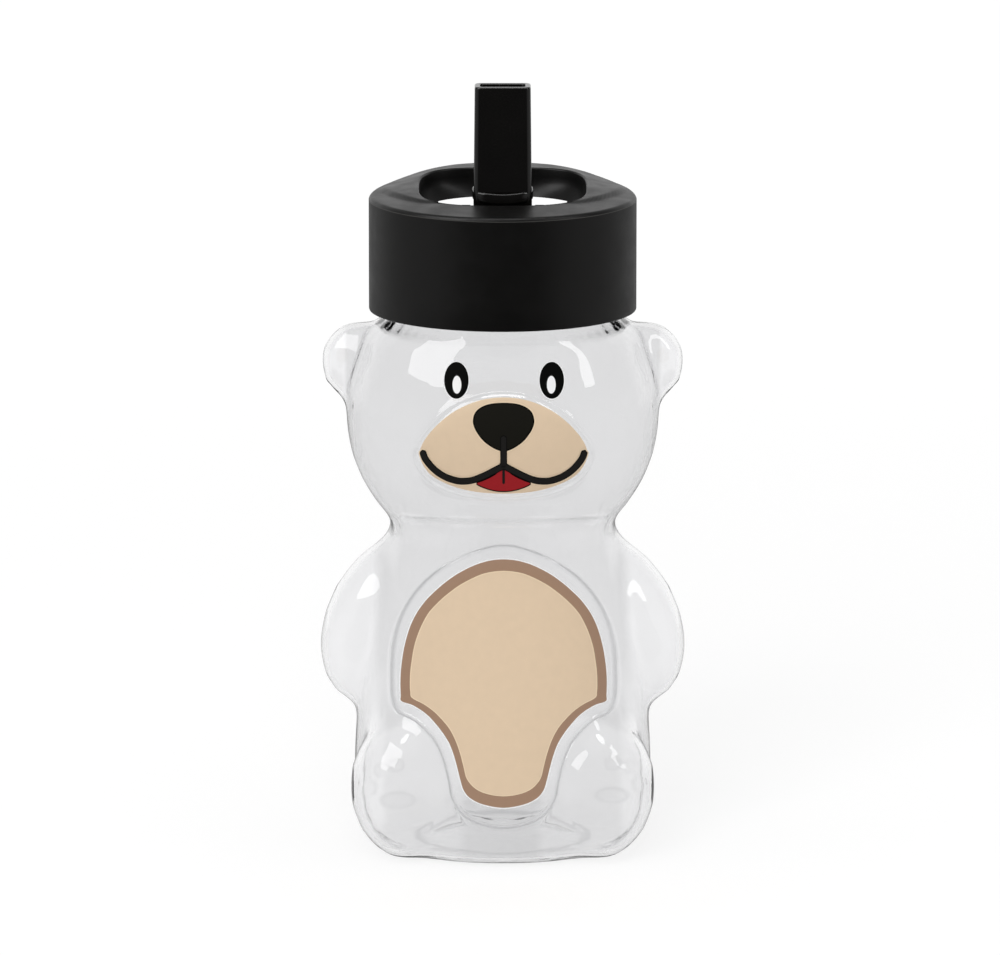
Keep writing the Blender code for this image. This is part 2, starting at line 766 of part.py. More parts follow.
def make_drinking_spout():
    material = make_material("gloss black spout", (0.008, 0.008, 0.009), 0.1)
    bm = bmesh.new()
    rings = []
    for height, inset in (
        (pivot_height, 0.0),
        (tip_height - SPOUT_TIP_ROUND, 0.0),
        (tip_height, SPOUT_TIP_ROUND),
    ):
        half_width = spout_half_width(height) - inset
        half_depth = SPOUT_HALF_DEPTH - inset
        rings.append(rounded_rectangle(half_width, half_depth, SPOUT_CORNER - inset, height))
    skin(bm, rings)
    spout = make_object("drinking_spout", bm, material)

    pivot = (0.0, pivot_y, pivot_height)
    barrel_half = SPOUT_BASE_HALF_WIDTH + BARREL_PROUD
    join(spout, rod_along_x("barrel", BARREL_RADIUS, barrel_half, pivot, sides=40))
    stub_half = COLLAR_HALF_WIDTH + RUNNING_GAP + STUB_LENGTH - SEAT_GAP
    join(spout, rod_along_x("stubs", STUB_RADIUS, stub_half, pivot, sides=24))

    bm = bmesh.new()
    rings = []
    bottom = pivot_height + COLLAR_BOTTOM
    top = bottom + COLLAR_HEIGHT
    for height, inset in (
        (bottom, COLLAR_EDGE),
        (bottom + COLLAR_EDGE, 0.0),
        (top - COLLAR_EDGE, 0.0),
        (top, COLLAR_EDGE),
    ):
        half_width = COLLAR_HALF_WIDTH - inset
        half_depth = COLLAR_HALF_DEPTH - inset
        rings.append(rounded_rectangle(half_width, half_depth, COLLAR_CORNER, height, steps=5))
    skin(bm, rings)
    join(spout, make_object("collar", bm))

    channel_foot = pivot_height + CHANNEL_FOOT
    bm = bmesh.new()
    rings = []
    for height in (channel_foot, tip_height + PAST):
        half_width = spout_half_width(min(height, tip_height)) - SPOUT_WALL
        half_depth = SPOUT_HALF_DEPTH - SPOUT_WALL
        rings.append(rounded_rectangle(half_width, half_depth, CHANNEL_CORNER, height))
    skin(bm, rings)
    cut(spout, make_object("spout channel", bm))
    low = pivot_height - BARREL_RADIUS - PAST
    port = [(PORT_RADIUS, low), (PORT_RADIUS, channel_foot + OVERLAP)]
    cut(spout, turned("barrel port", port, sides=24, centre=(0.0, pivot_y)))

    # The object's origin goes to the joint's axis without moving its mesh in the world
    moved = Matrix.Translation(-Vector(pivot))
    spout.data.transform(moved)
    spout.location = pivot
    return spout


make_bottle_body()
make_lid_shell()
make_lid_insert()
make_lid_gasket()
make_spout_seal()
make_vent_valve()
make_drinking_spout()
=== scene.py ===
import math

import bmesh
import bpy
import numpy as np
from mathutils import Matrix, Vector
from mathutils.bvhtree import BVHTree


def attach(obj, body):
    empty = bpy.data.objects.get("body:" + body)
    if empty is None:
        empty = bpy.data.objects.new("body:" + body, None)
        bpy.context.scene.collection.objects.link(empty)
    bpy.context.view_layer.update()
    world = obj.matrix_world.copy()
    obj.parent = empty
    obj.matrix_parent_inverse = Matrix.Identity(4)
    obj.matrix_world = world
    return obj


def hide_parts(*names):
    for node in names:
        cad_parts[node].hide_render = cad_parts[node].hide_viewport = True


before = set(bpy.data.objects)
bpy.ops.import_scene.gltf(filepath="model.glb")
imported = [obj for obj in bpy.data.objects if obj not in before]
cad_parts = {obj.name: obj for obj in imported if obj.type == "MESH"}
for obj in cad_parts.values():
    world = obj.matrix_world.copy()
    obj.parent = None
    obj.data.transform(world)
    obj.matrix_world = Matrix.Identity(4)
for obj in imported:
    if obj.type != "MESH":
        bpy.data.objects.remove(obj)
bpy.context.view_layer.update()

mm = 0.001  # sizes are in millimetres
scene = bpy.context.scene
print("frame loaded:", len(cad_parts), "nodes")


# camera, and the way from a pixel of the photograph to the bottle's surface
camera = dict(
    place=(-0.0007, -2.469, 0.588),
    tilt=11.22,  # degrees below the horizon
    lens=345, sensor=36, imageSize=(1000, 955),
)

cameraData = bpy.data.cameras.new("photoCamera")
cameraData.lens = camera["lens"]
cameraData.sensor_width = camera["sensor"]
cameraData.clip_start = 0.1
cameraData.clip_end = 60
cameraObject = bpy.data.objects.new("photoCamera", cameraData)
cameraObject.location = camera["place"]
cameraObject.rotation_euler = (math.radians(90 - camera["tilt"]), 0, 0)
scene.collection.objects.link(cameraObject)
scene.camera = cameraObject
bpy.context.view_layer.update()

eye = cameraObject.matrix_world.translation.copy()
turn = cameraObject.matrix_world.to_3x3()
imageWidth, imageHeight = camera["imageSize"]
pixelsPerUnit = camera["lens"] / camera["sensor"] * imageWidth


def rayThrough(px, py):
    across = (px - imageWidth / 2) / pixelsPerUnit
    up = (imageHeight / 2 - py) / pixelsPerUnit
    return (turn @ Vector((across, up, -1))).normalized()


def pixelsOf(points):
    # World points, one a row, as pixels of the photograph.
    local = (points - np.array(eye)) @ np.array(turn)
    px = imageWidth / 2 - local[:, 0] / local[:, 2] * pixelsPerUnit
    py = imageHeight / 2 + local[:, 1] / local[:, 2] * pixelsPerUnit
    return np.stack([px, py], 1)


# shared mesh helpers
def objectFrom(name, bm):
    mesh = bpy.data.meshes.new(name)
    bm.to_mesh(mesh)
    bm.free()
    made = bpy.data.objects.new(name, mesh)
    scene.collection.objects.link(made)
    return made


def meshArray(mesh, name):
    # One row of three for each point.
    values = np.empty(len(mesh.vertices) * 3)
    mesh.vertices.foreach_get(name, values)
    return values.reshape(-1, 3)


def settle(obj):
    # Modifiers become the mesh.
    depsgraph = bpy.context.evaluated_depsgraph_get()
    mesh = bpy.data.meshes.new_from_object(obj.evaluated_get(depsgraph))
    obj.modifiers.clear()
    old = obj.data
    obj.data = mesh
    bpy.data.meshes.remove(old)


def finishPiece(obj, body, material, stands=()):
    obj.data.materials.clear()
    obj.data.materials.append(material)
    obj.data.shade_smooth()
    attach(obj, body)
    if stands:
        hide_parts(*stands)


def modify(obj, name, kind, **settings):
    modifier = obj.modifiers.new(name, kind)
    for setting, value in settings.items():
        setattr(modifier, setting, value)


def subtract(obj, tool):
    modify(obj, "cut", "BOOLEAN", operation="DIFFERENCE", solver="EXACT", object=tool)
    settle(obj)
    bpy.data.objects.remove(tool, do_unlink=True)


def roundEdges(obj, spec):
    width, angle = spec["edge"] * mm, math.radians(spec["edgeAngle"])
    modify(obj, "edge", "BEVEL", width=width, segments=2, limit_method="ANGLE", angle_limit=angle)


def bevelEdges(bm, edges, width):
    bmesh.ops.bevel(
        bm, geom=edges, offset=width * mm, offset_type="OFFSET", affect="EDGES", segments=4,
        profile=0.5, material=-1,
    )


def faceOutwards(bm):
    bmesh.ops.recalc_face_normals(bm, faces=bm.faces)


def allOf(bm):
    return list(bm.verts) + list(bm.edges) + list(bm.faces)


# shared node helpers
def feed(tree, node, values):
    # Values are numbers, colours or other nodes' outputs, by their sockets.
    for name, value in values.items():
        if isinstance(value, bpy.types.NodeSocket):
            tree.links.new(value, node.inputs[name])
        else:
            node.inputs[name].default_value = value


def addNode(tree, kind, values, **settings):
    node = tree.nodes.new("ShaderNode" + kind)
    for setting, value in settings.items():
        setattr(node, setting, value)
    feed(tree, node, values)
    return node


def mapped(tree, source, fromLow, fromHigh, toLow, toHigh, smooth=False):
    values = {"Value": source, "From Min": fromLow, "From Max": fromHigh, "To Min": toLow, "To Max": toHigh}
    curve = "SMOOTHSTEP" if smooth else "LINEAR"
    return addNode(tree, "MapRange", values, interpolation_type=curve).outputs["Result"]


def reckoned(tree, operation, first, second):
    return addNode(tree, "Math", {0: first, 1: second}, operation=operation).outputs[0]


# materials
def linear(colour):
    return tuple(c / 255 / 12.92 if c < 11 else ((c / 255 + 0.055) / 1.055) ** 2.4 for c in colour)


def mottled(colour, darker, lighter):
    return tuple(c * darker for c in colour), tuple(min(1.0, c * lighter) for c in colour)


class Paint:
    # A material whose colour, roughness and bump come from noise on Object coordinates.

    def __init__(self, name):
        self.material = bpy.data.materials.new(name)
        self.material.use_nodes = True
        self.tree = self.material.node_tree
        self.shader = self.tree.nodes["Principled BSDF"]
        self.where = self.tree.nodes.new("ShaderNodeTexCoord").outputs["Object"]

    def give(self, values):
        feed(self.tree, self.shader, values)

    def noise(self, size, detail=3.0, roughness=0.5):
        # Noise whose features are about this many millimetres across.
        values = {"Vector": self.where, "Scale": 1 / (size * mm), "Detail": detail, "Roughness": roughness}
        return addNode(self.tree, "TexNoise", values).outputs["Fac"]

    def spread(self, source, low, high, fromLow=0.3, fromHigh=0.7):
        return mapped(self.tree, source, fromLow, fromHigh, low, high)

    def colour(self, source, dark, light):
        node = addNode(self.tree, "ValToRGB", {"Fac": source})
        for element, place, colour in zip(node.color_ramp.elements, (0.3, 0.7), (dark, light)):
            element.position = place
            element.color = (*colour, 1)
        self.give({"Base Color": node.outputs["Color"]})

    def roughness(self, low, high, size, detail=3.0):
        self.give({"Roughness": self.spread(self.noise(size, detail), low, high)})

    def bump(self, source, depth, strength=1.0, below=None):
        # Depth in millimetres for a source that runs from 0 to 1.
        values = {"Height": source, "Strength": strength, "Distance": depth * mm}
        if below is not None:
            values["Normal"] = below
        normal = addNode(self.tree, "Bump", values).outputs["Normal"]
        self.give({"Normal": normal})
        return normal

    def attribute(self, name):
        return addNode(self.tree, "Attribute", {}, attribute_name=name).outputs["Fac"]

    def faded(self, source, level, name):
        # The source over its level, as far as the attribute shows it.
        height = reckoned(self.tree, "SUBTRACT", source, level)
        return reckoned(self.tree, "MULTIPLY", height, self.attribute(name))

    def shade(self, source, strength, colour):
        # A line over the colour so far, by a source that is 1 on the line.
        before = self.shader.inputs["Base Color"].links[0].from_socket
        share = self.spread(source, 0.0, strength, 0.0, 1.0)
        node = addNode(self.tree, "Mix", {0: share, 6: before, 7: (*colour, 1)}, data_type="RGBA")
        self.give({"Base Color": node.outputs[2]})

    def band(self, name, places):
        # A smooth profile over the attribute, through about these (value, height) places.
        low, high = places[0][0], places[-1][0]
        scaled = self.spread(self.attribute(name), 0.0, 1.0, low, high)
        node = addNode(self.tree, "ValToRGB", {"Fac": scaled})
        ramp = node.color_ramp
        ramp.interpolation = "B_SPLINE"
        for i, (value, height) in enumerate(places):
            share = (value - low) / (high - low)
            if i < 2:
                element = ramp.elements[i]
                element.position = share
            else:
                element = ramp.elements.new(share)
            element.color = (height, height, height, 1)
        return node.outputs["Color"]


plastic = dict(
    # thick and thin tint the plastic by its wall; edge is the grey of the painted shade lines
    thick=(0.865, 0.865, 0.87), thin=(0.945, 0.945, 0.95), edge=(0.6, 0.6, 0.61),
    rough=(0.015, 0.045), ior=1.49, gloss=0.95,
    uneven=0.12, waves=0.1,
    # painted shade along the moulded edges, grey lines where refraction darkens the clear plastic: strength,
    # and profile over the millimetres from the edge
    lines=dict(
        panel=(0.9, [(-1.6, 0), (-0.45, 0), (-0.12, 1), (0.12, 1), (0.45, 0), (1.6, 0)]),
        base=(0.85, [(-4, 0), (-2, 0), (-1, 0.8), (0.2, 0.9), (0.9, 0), (4, 0)]),
        paw=(0.22, [(-1.4, 0), (-0.5, 0), (0, 1), (0.5, 0.35), (1.4, 0.35)]),
    ),
    # relief finer than the mesh: depth in millimetres, the level it fades to, and its profile
    bumps=dict(
        crease=(0.36, 0.5, [(-2.4, 0.5), (-1.2, 0.7), (-0.1, 0), (0.8, 0.45), (2.4, 0.5)]),
        panel=(0.42, None, [(-2, 0.5), (-0.7, 0.5), (-0.2, 0), (0.35, 0.9), (0.9, 0.55), (2.2, 0.5)]),
        muzzle=(0.45, None, [(-2, 0.3), (-0.8, 0.3), (-0.2, 0), (0.5, 0.8), (2, 1)]),
        paw=(0.07, 0, [(-1, 0), (-0.3, 0), (0.35, 1), (1.2, 1)]),
    ),
)


def makeClearPlastic():
    paint = Paint("clearPlastic")
    paint.give({"Transmission Weight": 1.0, "IOR": plastic["ior"], "Specular IOR Level": plastic["gloss"]})
    uneven = paint.spread(paint.noise(30, detail=2), -plastic["uneven"], plastic["uneven"])
    thinness = reckoned(paint.tree, "ADD", paint.attribute("thinWall"), uneven)
    paint.colour(thinness, plastic["thick"], plastic["thin"])
    # painted shade: grey lines along the belly panel, the base ring and the paw marks
    for name, (strength, profile) in plastic["lines"].items():
        line = paint.band(name + "Edge", profile)
        if name == "paw":
            line = paint.faded(line, 0.0, "pawShown")
        paint.shade(line, strength, plastic["edge"])
    paint.roughness(*plastic["rough"], size=4, detail=4)
    below = paint.bump(paint.noise(14, detail=1, roughness=0.3), plastic["waves"], strength=0.5)
    for name, (depth, level, profile) in plastic["bumps"].items():
        height = paint.band(name + "Edge", profile)
        if level is not None:
            height = paint.faded(height, level, name + "Shown")
        below = paint.bump(height, depth, below=below)
    return paint.material


def makeInk(name, colour):
    # Screen-printed ink: nearly flat, with a faint mottle.
    paint = Paint(name)
    paint.colour(paint.noise(2.5), *mottled(linear(colour), darker=0.985, lighter=1.012))
    paint.roughness(0.45, 0.56, size=1.2)
    paint.bump(paint.noise(0.35, detail=2), depth=0.004, strength=0.5)
    paint.give({"IOR": 1.1})
    return paint.material


def makeBlackPlastic(name, colour, rough, grain, depth, ior, line=None):
    # Black plastic with a moulded grain of the given size and depth in millimetres.
    paint = Paint(name)
    paint.colour(paint.noise(9, detail=4), *mottled(linear(colour), darker=0.85, lighter=1.2))
    # painted highlight: a lighter line along the parting line
    if line:
        paint.shade(paint.attribute("partingHighlight"), 1.0, linear(line))
    paint.roughness(rough - 0.04, rough + 0.05, size=5, detail=4)
    paint.bump(paint.noise(grain, roughness=0.6), depth, strength=0.6)
    paint.give({"IOR": ior})
    return paint.material


def makeSilicone(name, colour, transmission=0.0):
    paint = Paint(name)
    paint.colour(paint.noise(3), *mottled(linear(colour), darker=0.9, lighter=1.06))
    paint.roughness(0.38, 0.52, size=1.5)
    paint.bump(paint.noise(0.5), depth=0.01, strength=0.5)
    paint.give({"Transmission Weight": transmission})
    return paint.material


clearMaterial = makeClearPlastic()
blacks = dict(
    # satinBlack's line colour is a painted highlight along the lid's parting line
    satinBlack=dict(colour=(9, 8, 7), rough=0.4, grain=0.35, depth=0.02, ior=1.36, line=(64, 63, 61)),
    glossBlack=dict(colour=(9, 8, 8), rough=0.2, grain=1.2, depth=0.004, ior=1.48),
    glossBlackSpout=dict(colour=(8, 7, 6), rough=0.14, grain=6, depth=0.02, ior=1.48),
)
satinBlack, glossBlack, glossSpout = (makeBlackPlastic(name, **look) for name, look in blacks.items())
print("materials made")


# bottle: one blown skin with ears, arms and feet
bear = dict(
    depth=0.9,  # front to back over side to side
    squareness=2.15, sides=96, sideSteps=90,
    baseRadius=27.2, baseCorner=12,
    # half widths or radii with heights, and the curves between them
    pushUp=(20, 3.2),
    crease=(29, 87.6), torsoCurve=2.2,
    widest=(41, 118), cheekCurve=2.35,
    shoulder=(34.5, 139.8), browCurve=1.52, shoulderRound=3.6,
    neckRadius=30.1,
    neckSunk=3,  # the neck starts inside the shoulder
    neckSpare=5,  # and is cut off at the lip
    lip=157.2,
    ears=dict(size=(10.8, 7, 10.8), place=(36.9, 0, 129.5), lean=0),
    arms=dict(size=(17.2, 14.5, 25.2), place=(28.6, 0, 61), lean=30),
    feet=dict(size=(15.5, 17, 19.4), place=(24.4, -20.4, 20), lean=0),
    voxel=2.3,
    relaxing=10,  # passes
    relaxStrengths=(0.55, -0.58),
    footZone=2,  # the base below this height is moved down onto the floor
    wall=1.2, neckWall=1.8,
    wallBlend=2,  # millimetres over which the neck's wall thickens
)


def bodyHalfWidth(z):
    creaseHalf, creaseZ = bear["crease"]
    widestHalf, widestZ = bear["widest"]
    shoulderHalf, shoulderZ = bear["shoulder"]
    if z <= creaseZ:
        bottom = bear["baseRadius"] + bear["baseCorner"]
        share = (z - bear["baseCorner"]) / (creaseZ - bear["baseCorner"])
        return creaseHalf + (bottom - creaseHalf) * (1 - share ** bear["torsoCurve"])
    if z <= widestZ:
        share = (z - creaseZ) / (widestZ - creaseZ)
        return creaseHalf + (widestHalf - creaseHalf) * (1 - (1 - share) ** bear["cheekCurve"])
    share = (z - widestZ) / (shoulderZ - widestZ)
    return widestHalf - (widestHalf - shoulderHalf) * share ** bear["browCurve"]


def bodyLevels():
    # (half width, height) from the middle of the base up to the shoulder.
    pushRadius, pushHeight = bear["pushUp"]
    shares = (0.08, 0.25, 0.45, 0.65, 0.8, 0.92, 1.0)
    levels = [(pushRadius * share, pushHeight * (1 - share**3)) for share in shares]
    corner = bear["baseCorner"]
    for step in range(11):
        a = math.radians(-90 + 9 * step)
        levels.append((bear["baseRadius"] + corner * math.cos(a), corner + corner * math.sin(a)))
    rounding = bear["shoulderRound"]
    shoulderZ = bear["shoulder"][1] - rounding
    steps = bear["sideSteps"]
    for step in range(1, steps + 1):
        z = corner + (shoulderZ - corner) * step / steps
        levels.append((bodyHalfWidth(z), z))
    for turn in (15, 30, 45, 60, 75, 90):
        a = math.radians(turn)
        inwards = rounding * (math.cos(a - math.radians(15)) - math.cos(a))
        levels.append((levels[-1][0] - inwards, shoulderZ + rounding * math.sin(a)))
    return levels


def bodyShell(bm):
    levels = bodyLevels()
    made = bmesh.ops.create_circle(bm, cap_ends=True, radius=1.0, segments=bear["sides"])
    power = 2 / bear["squareness"]
    for v in made["verts"]:
        v.co.x = math.copysign(abs(v.co.x) ** power, v.co.x)
        v.co.y = math.copysign(abs(v.co.y) ** power, v.co.y) * bear["depth"]
    half, z = levels[0]
    bmesh.ops.scale(bm, vec=(half * mm, half * mm, 1), verts=made["verts"])
    bmesh.ops.translate(bm, vec=(0, 0, z * mm), verts=made["verts"])
    edges = list({e for v in made["verts"] for e in v.link_edges})
    last = (half, z)
    for half, z in levels[1:]:
        grown = bmesh.ops.extrude_edge_only(bm, edges=edges)["geom"]
        verts = [g for g in grown if isinstance(g, bmesh.types.BMVert)]
        edges = [g for g in grown if isinstance(g, bmesh.types.BMEdge)]
        bmesh.ops.scale(bm, vec=(half / last[0], half / last[0], 1), verts=verts)
        bmesh.ops.translate(bm, vec=(0, 0, (z - last[1]) * mm), verts=verts)
        last = (half, z)
    bmesh.ops.edgeloop_fill(bm, edges=edges)


def lobes(bm, lobe):
    for side in (-1, 1):
        x, y, z = lobe["place"]
        size = [s * mm for s in lobe["size"]]
        place = (
            Matrix.Translation((side * x * mm, y * mm, z * mm))
            @ Matrix.Rotation(-side * math.radians(lobe["lean"]), 4, "Y")
            @ Matrix.Diagonal((*size, 1))
        )
        bmesh.ops.create_uvsphere(bm, u_segments=64, v_segments=40, radius=1, matrix=place)


def relax(mesh, passes):
    # Takes the voxel steps off and keeps the volume: each pass in is followed by one out.
    count = len(mesh.vertices)
    co = meshArray(mesh, "co")
    ends = np.empty(len(mesh.edges) * 2, np.int64)
    mesh.edges.foreach_get("vertices", ends)
    a, b = ends.reshape(-1, 2).T
    degree = np.bincount(np.concatenate([a, b]), minlength=count)[:, None]
    for _ in range(passes):
        for strength in bear["relaxStrengths"]:
            around = np.empty_like(co)
            for axis in range(3):
                weights = np.concatenate([co[b, axis], co[a, axis]])
                around[:, axis] = np.bincount(np.concatenate([a, b]), weights, count)
            co = co + strength * (around / degree - co)
    mesh.vertices.foreach_set("co", co.ravel())
    mesh.update()


bm = bmesh.new()
bodyShell(bm)
for part in ("ears", "arms", "feet"):
    lobes(bm, bear[part])
neckFoot = bear["shoulder"][1] - bear["neckSunk"]
neckTop = bear["lip"] + bear["neckSpare"]
bmesh.ops.create_cone(
    bm, cap_ends=True, segments=128, radius1=bear["neckRadius"] * mm, radius2=bear["neckRadius"] * mm,
    depth=(neckTop - neckFoot) * mm, matrix=Matrix.Translation((0, 0, (neckTop + neckFoot) / 2 * mm)),
)
faceOutwards(bm)
bottle = objectFrom("bearBottle", bm)
modify(bottle, "blow", "REMESH", mode="VOXEL", voxel_size=bear["voxel"] * mm)
settle(bottle)
relax(bottle.data, bear["relaxing"])
modify(bottle, "smooth", "SUBSURF", levels=1, render_levels=1)
settle(bottle)
print("bottle blown:", len(bottle.data.vertices), "points")


# printed and moulded outlines, as half shapes in photo pixels from the axis
axisPixel = 503.6
muzzleHalf = [
    (0, 397.4), (15, 398.6), (28.5, 401.8), (42.5, 407.7), (52.5, 413.5), (60.5, 419.6), (67.5, 426),
    (73, 432), (77.7, 438), (81.5, 444.5), (84, 451.5), (84, 456), (81.8, 462.5),
    (78.5, 468.3), (73.5, 474.2), (65, 480), (51, 486.2), (36, 490.4), (19, 492.9), (0, 493.6),
]
noseHalf = [
    (0, 402.8), (12, 403.6), (20.5, 406.2), (26.6, 410.3), (29.6, 415), (30.7, 420.5), (30.2, 425),
    (28.2, 430), (25.6, 434.3), (22.6, 438.3), (18.8, 442.3), (13.5, 446.2), (7, 449.8), (0, 451.5),
]
tongueHalf = [
    (0, 469), (8.5, 475), (15, 478.6), (21.5, 481.5), (26.5, 483.8), (17, 488.2), (8, 490.4),
    (0, 491),
]
bellyHalf = [
    (0, 559.4), (11, 560.2), (20, 562.2), (29, 565.3), (39.5, 570.2), (50, 576.4), (61, 584.6), (70, 592.6),
    (78, 600.8), (86.5, 612.4), (92.5, 624.3), (96.5, 636), (99.5, 648), (101.5, 660), (102.8, 672),
    (103.2, 684), (102.8, 695), (102.3, 701), (92.5, 704.4), (85.5, 708.2), (79.5, 712.2), (73, 718),
    (66, 726), (60, 734), (54, 744), (49.5, 756), (46.2, 768), (43.2, 780), (40, 790), (33.5, 798),
    (20.5, 804.4), (0, 807.8),
]
bellyFillHalf = [
    (0, 571.2), (14, 572.6), (25.5, 576), (41.5, 584), (53, 592), (63, 600.4), (74, 612), (81, 624),
    (86, 636), (89.5, 648), (91.5, 660), (93, 672), (93.4, 684), (93, 692), (91.5, 697.6), (80, 703.8),
    (74, 707.9), (69, 711.8), (63, 717.8), (56, 725.8), (51, 733.8), (46.5, 743.8), (42.5, 756), (39.5, 768),
    (36.4, 779), (28, 788.5), (16, 793.8), (0, 796),
]
panelHalf = [
    (0, 546), (16.5, 548), (42.5, 557), (69.5, 573), (89.5, 593), (103.5, 617), (111, 644),
    (113, 677), (111.5, 700), (105.5, 712), (88.5, 721), (70.5, 738.5), (60.5, 758), (54.5, 781),
    (51, 799), (40.5, 815), (22, 824.5), (0, 828),
]


def through(p0, p1, p2, p3, t):
    # A smooth line from p1 to p2.
    straight = 2 * p1 + (p2 - p0) * t
    return 0.5 * (straight + (2 * p0 - 5 * p1 + 4 * p2 - p3) * t**2 + (3 * p1 - p0 - 3 * p2 + p3) * t**3)


cornerAngle = 1.2  # radians; the line between two sharper corners stays straight
outlineSteps = 4
lineSteps = 8


def wholeOutline(half):
    # Both sides of a half outline, with more points on a smooth line through it.
    right = [Vector(p) for p in half]
    left = [Vector((-p.x, p.y)) for p in reversed(right[1:-1])]
    ring = right + left
    count = len(ring)
    dense = []
    for i in range(count):
        p0, p1, p2, p3 = (ring[(i + k) % count] for k in (-1, 0, 1, 2))
        corner = min((p1 - p0).angle(p2 - p1, 0), (p2 - p1).angle(p3 - p2, 0)) > cornerAngle
        for step in range(outlineSteps):
            t = step / outlineSteps
            dense.append(p1.lerp(p2, t) if corner else through(p0, p1, p2, p3, t))
    return np.array([(axisPixel + p.x, p.y) for p in dense])


def distanceInside(points, ring):
    # Pixels from each point to the ring, above zero inside it.
    along = np.roll(ring, -1, axis=0) - ring
    best = np.full(len(points), 1e9)
    crossings = np.zeros(len(points), int)
    for (sx, sy), (dx, dy) in zip(ring, along):
        px, py = points[:, 0] - sx, points[:, 1] - sy
        share = np.clip((px * dx + py * dy) / max(dx * dx + dy * dy, 1e-12), 0, 1)
        best = np.minimum(best, np.hypot(px - share * dx, py - share * dy))
        if abs(dy) > 1e-12:
            level = py / dy
            crossings += (level >= 0) & (level < 1) & (px < level * dx)
    return np.where(crossings % 2 == 1, best, -best)


def ramp(values, low, high):
    share = np.clip((values - low) / (high - low), 0, 1)
    return share * share * (3 - 2 * share)


relief = dict(
    pixel=0.262,  # millimetres to a pixel on the front
    frontFacing=0.05,
    far=50.0,
    panelRecess=0.22, panelBlend=(-0.9, 0.9),
    muzzleMargin=1.3, muzzleRise=1.5, muzzleBlend=(-1.6, 2.6),
    pawRise=0.12, pawBlend=(-0.8, 0.8),
    pawFacing=(0.5, 0.85),  # the marks fade out as the surface turns from the front
    creaseFacing=(0.35, 0.8),
    baseLine=22.5, baseReach=1.25, baseTop=5,
    # photo pixels from the axis: the chin's crease, and each paw mark's place and half sizes
    creaseLine=[(-118, 515.5), (-60, 518.5), (0, 519.5), (60, 518.5), (118, 515.5)],
    pads=[(-106, 800.5, 17, 8), (109, 795.5, 16.5, 7.5)],
    toes=[(-107.6, 765, 7.5, 6.5), (-123.6, 770, 7, 6.5), (-133.6, 788, 5.5, 7),
          (109.4, 763, 7.5, 6.5), (126.9, 766.5, 7, 6.5), (135.4, 784, 5.5, 7)],
    # where the plastic is blown thinner, in millimetres from the middle, forwards and up
    thinArm=(28, 38), thinEar=(40, 43), headFrom=88,
    thinFoot=dict(forwards=(22, 30), sideways=(5, 15), upwards=(36, 46)),
)


def mould(obj):
    # Raises the muzzle, sinks the belly panel and marks the paws.
    mesh = obj.data
    co = meshArray(mesh, "co")
    normals = meshArray(mesh, "normal")
    front = normals[:, 1] < -relief["frontFacing"]
    pixels = pixelsOf(co)
    scale = relief["pixel"]
    far = np.full(len(co), -relief["far"])
    panel = np.where(front, distanceInside(pixels, wholeOutline(panelHalf)) * scale, far)
    muzzle = distanceInside(pixels, wholeOutline(muzzleHalf)) * scale + relief["muzzleMargin"]
    muzzle = np.where(front, muzzle, far)
    paws = far.copy()
    for x, y, wide, high in relief["pads"] + relief["toes"]:
        reach = np.hypot((pixels[:, 0] - axisPixel - x) / wide, (pixels[:, 1] - y) / high)
        paws = np.maximum(paws, np.where(front, (1 - reach) * min(wide, high) * scale, far))
    pawShown = ramp(-normals[:, 1], *relief["pawFacing"])
    places, heights = zip(*relief["creaseLine"])
    crease = (np.interp(pixels[:, 0] - axisPixel, places, heights) - pixels[:, 1]) * scale
    creaseShown = ramp(-normals[:, 1], *relief["creaseFacing"])
    # the base ring, along which the plastic gets a painted shade line
    ring = np.hypot(co[:, 0], co[:, 1] / np.where(co[:, 1] > 0, relief["baseReach"], bear["depth"])) / mm
    base = np.where(co[:, 2] < relief["baseTop"] * mm, ring - relief["baseLine"], -far)
    rise = (
        relief["muzzleRise"] * ramp(muzzle, *relief["muzzleBlend"])
        - relief["panelRecess"] * ramp(panel, *relief["panelBlend"])
        + relief["pawRise"] * ramp(paws, *relief["pawBlend"]) * pawShown
    )
    co = co + normals * (rise * mm)[:, None]
    mesh.vertices.foreach_set("co", co.ravel())
    sideways, forwards, upwards = np.abs(co[:, 0]) / mm, -co[:, 1] / mm, co[:, 2] / mm
    thinFoot = relief["thinFoot"]
    foot = ramp(forwards, *thinFoot["forwards"]) * ramp(sideways, *thinFoot["sideways"])
    foot = foot * (1 - ramp(upwards, *thinFoot["upwards"]))
    armOrFoot = np.maximum(ramp(sideways, *relief["thinArm"]), foot)
    thinWall = np.where(upwards < relief["headFrom"], armOrFoot, ramp(sideways, *relief["thinEar"]))
    layers = dict(
        panelEdge=panel, muzzleEdge=muzzle, pawEdge=paws, thinWall=thinWall, creaseEdge=crease,
        creaseShown=creaseShown, pawShown=pawShown, baseEdge=base,
    )
    for name, values in layers.items():
        layer = mesh.attributes.new(name, "FLOAT", "POINT")
        layer.data.foreach_set("value", values.astype(np.float32))
    mesh.update()


mould(bottle)

# the neck is cut off at the lip and left open
bm = bmesh.new()
bm.from_mesh(bottle.data)
lip = (0, 0, bear["lip"] * mm)
bmesh.ops.bisect_plane(bm, geom=allOf(bm), plane_co=lip, plane_no=(0, 0, 1), clear_outer=True)
lowest = min(v.co.z for v in bm.verts)
bmesh.ops.translate(bm, vec=(0, 0, -lowest), verts=[v for v in bm.verts if v.co.z < bear["footZone"] * mm])
surface = BVHTree.FromBMesh(bm)
bm.to_mesh(bottle.data)
bm.free()

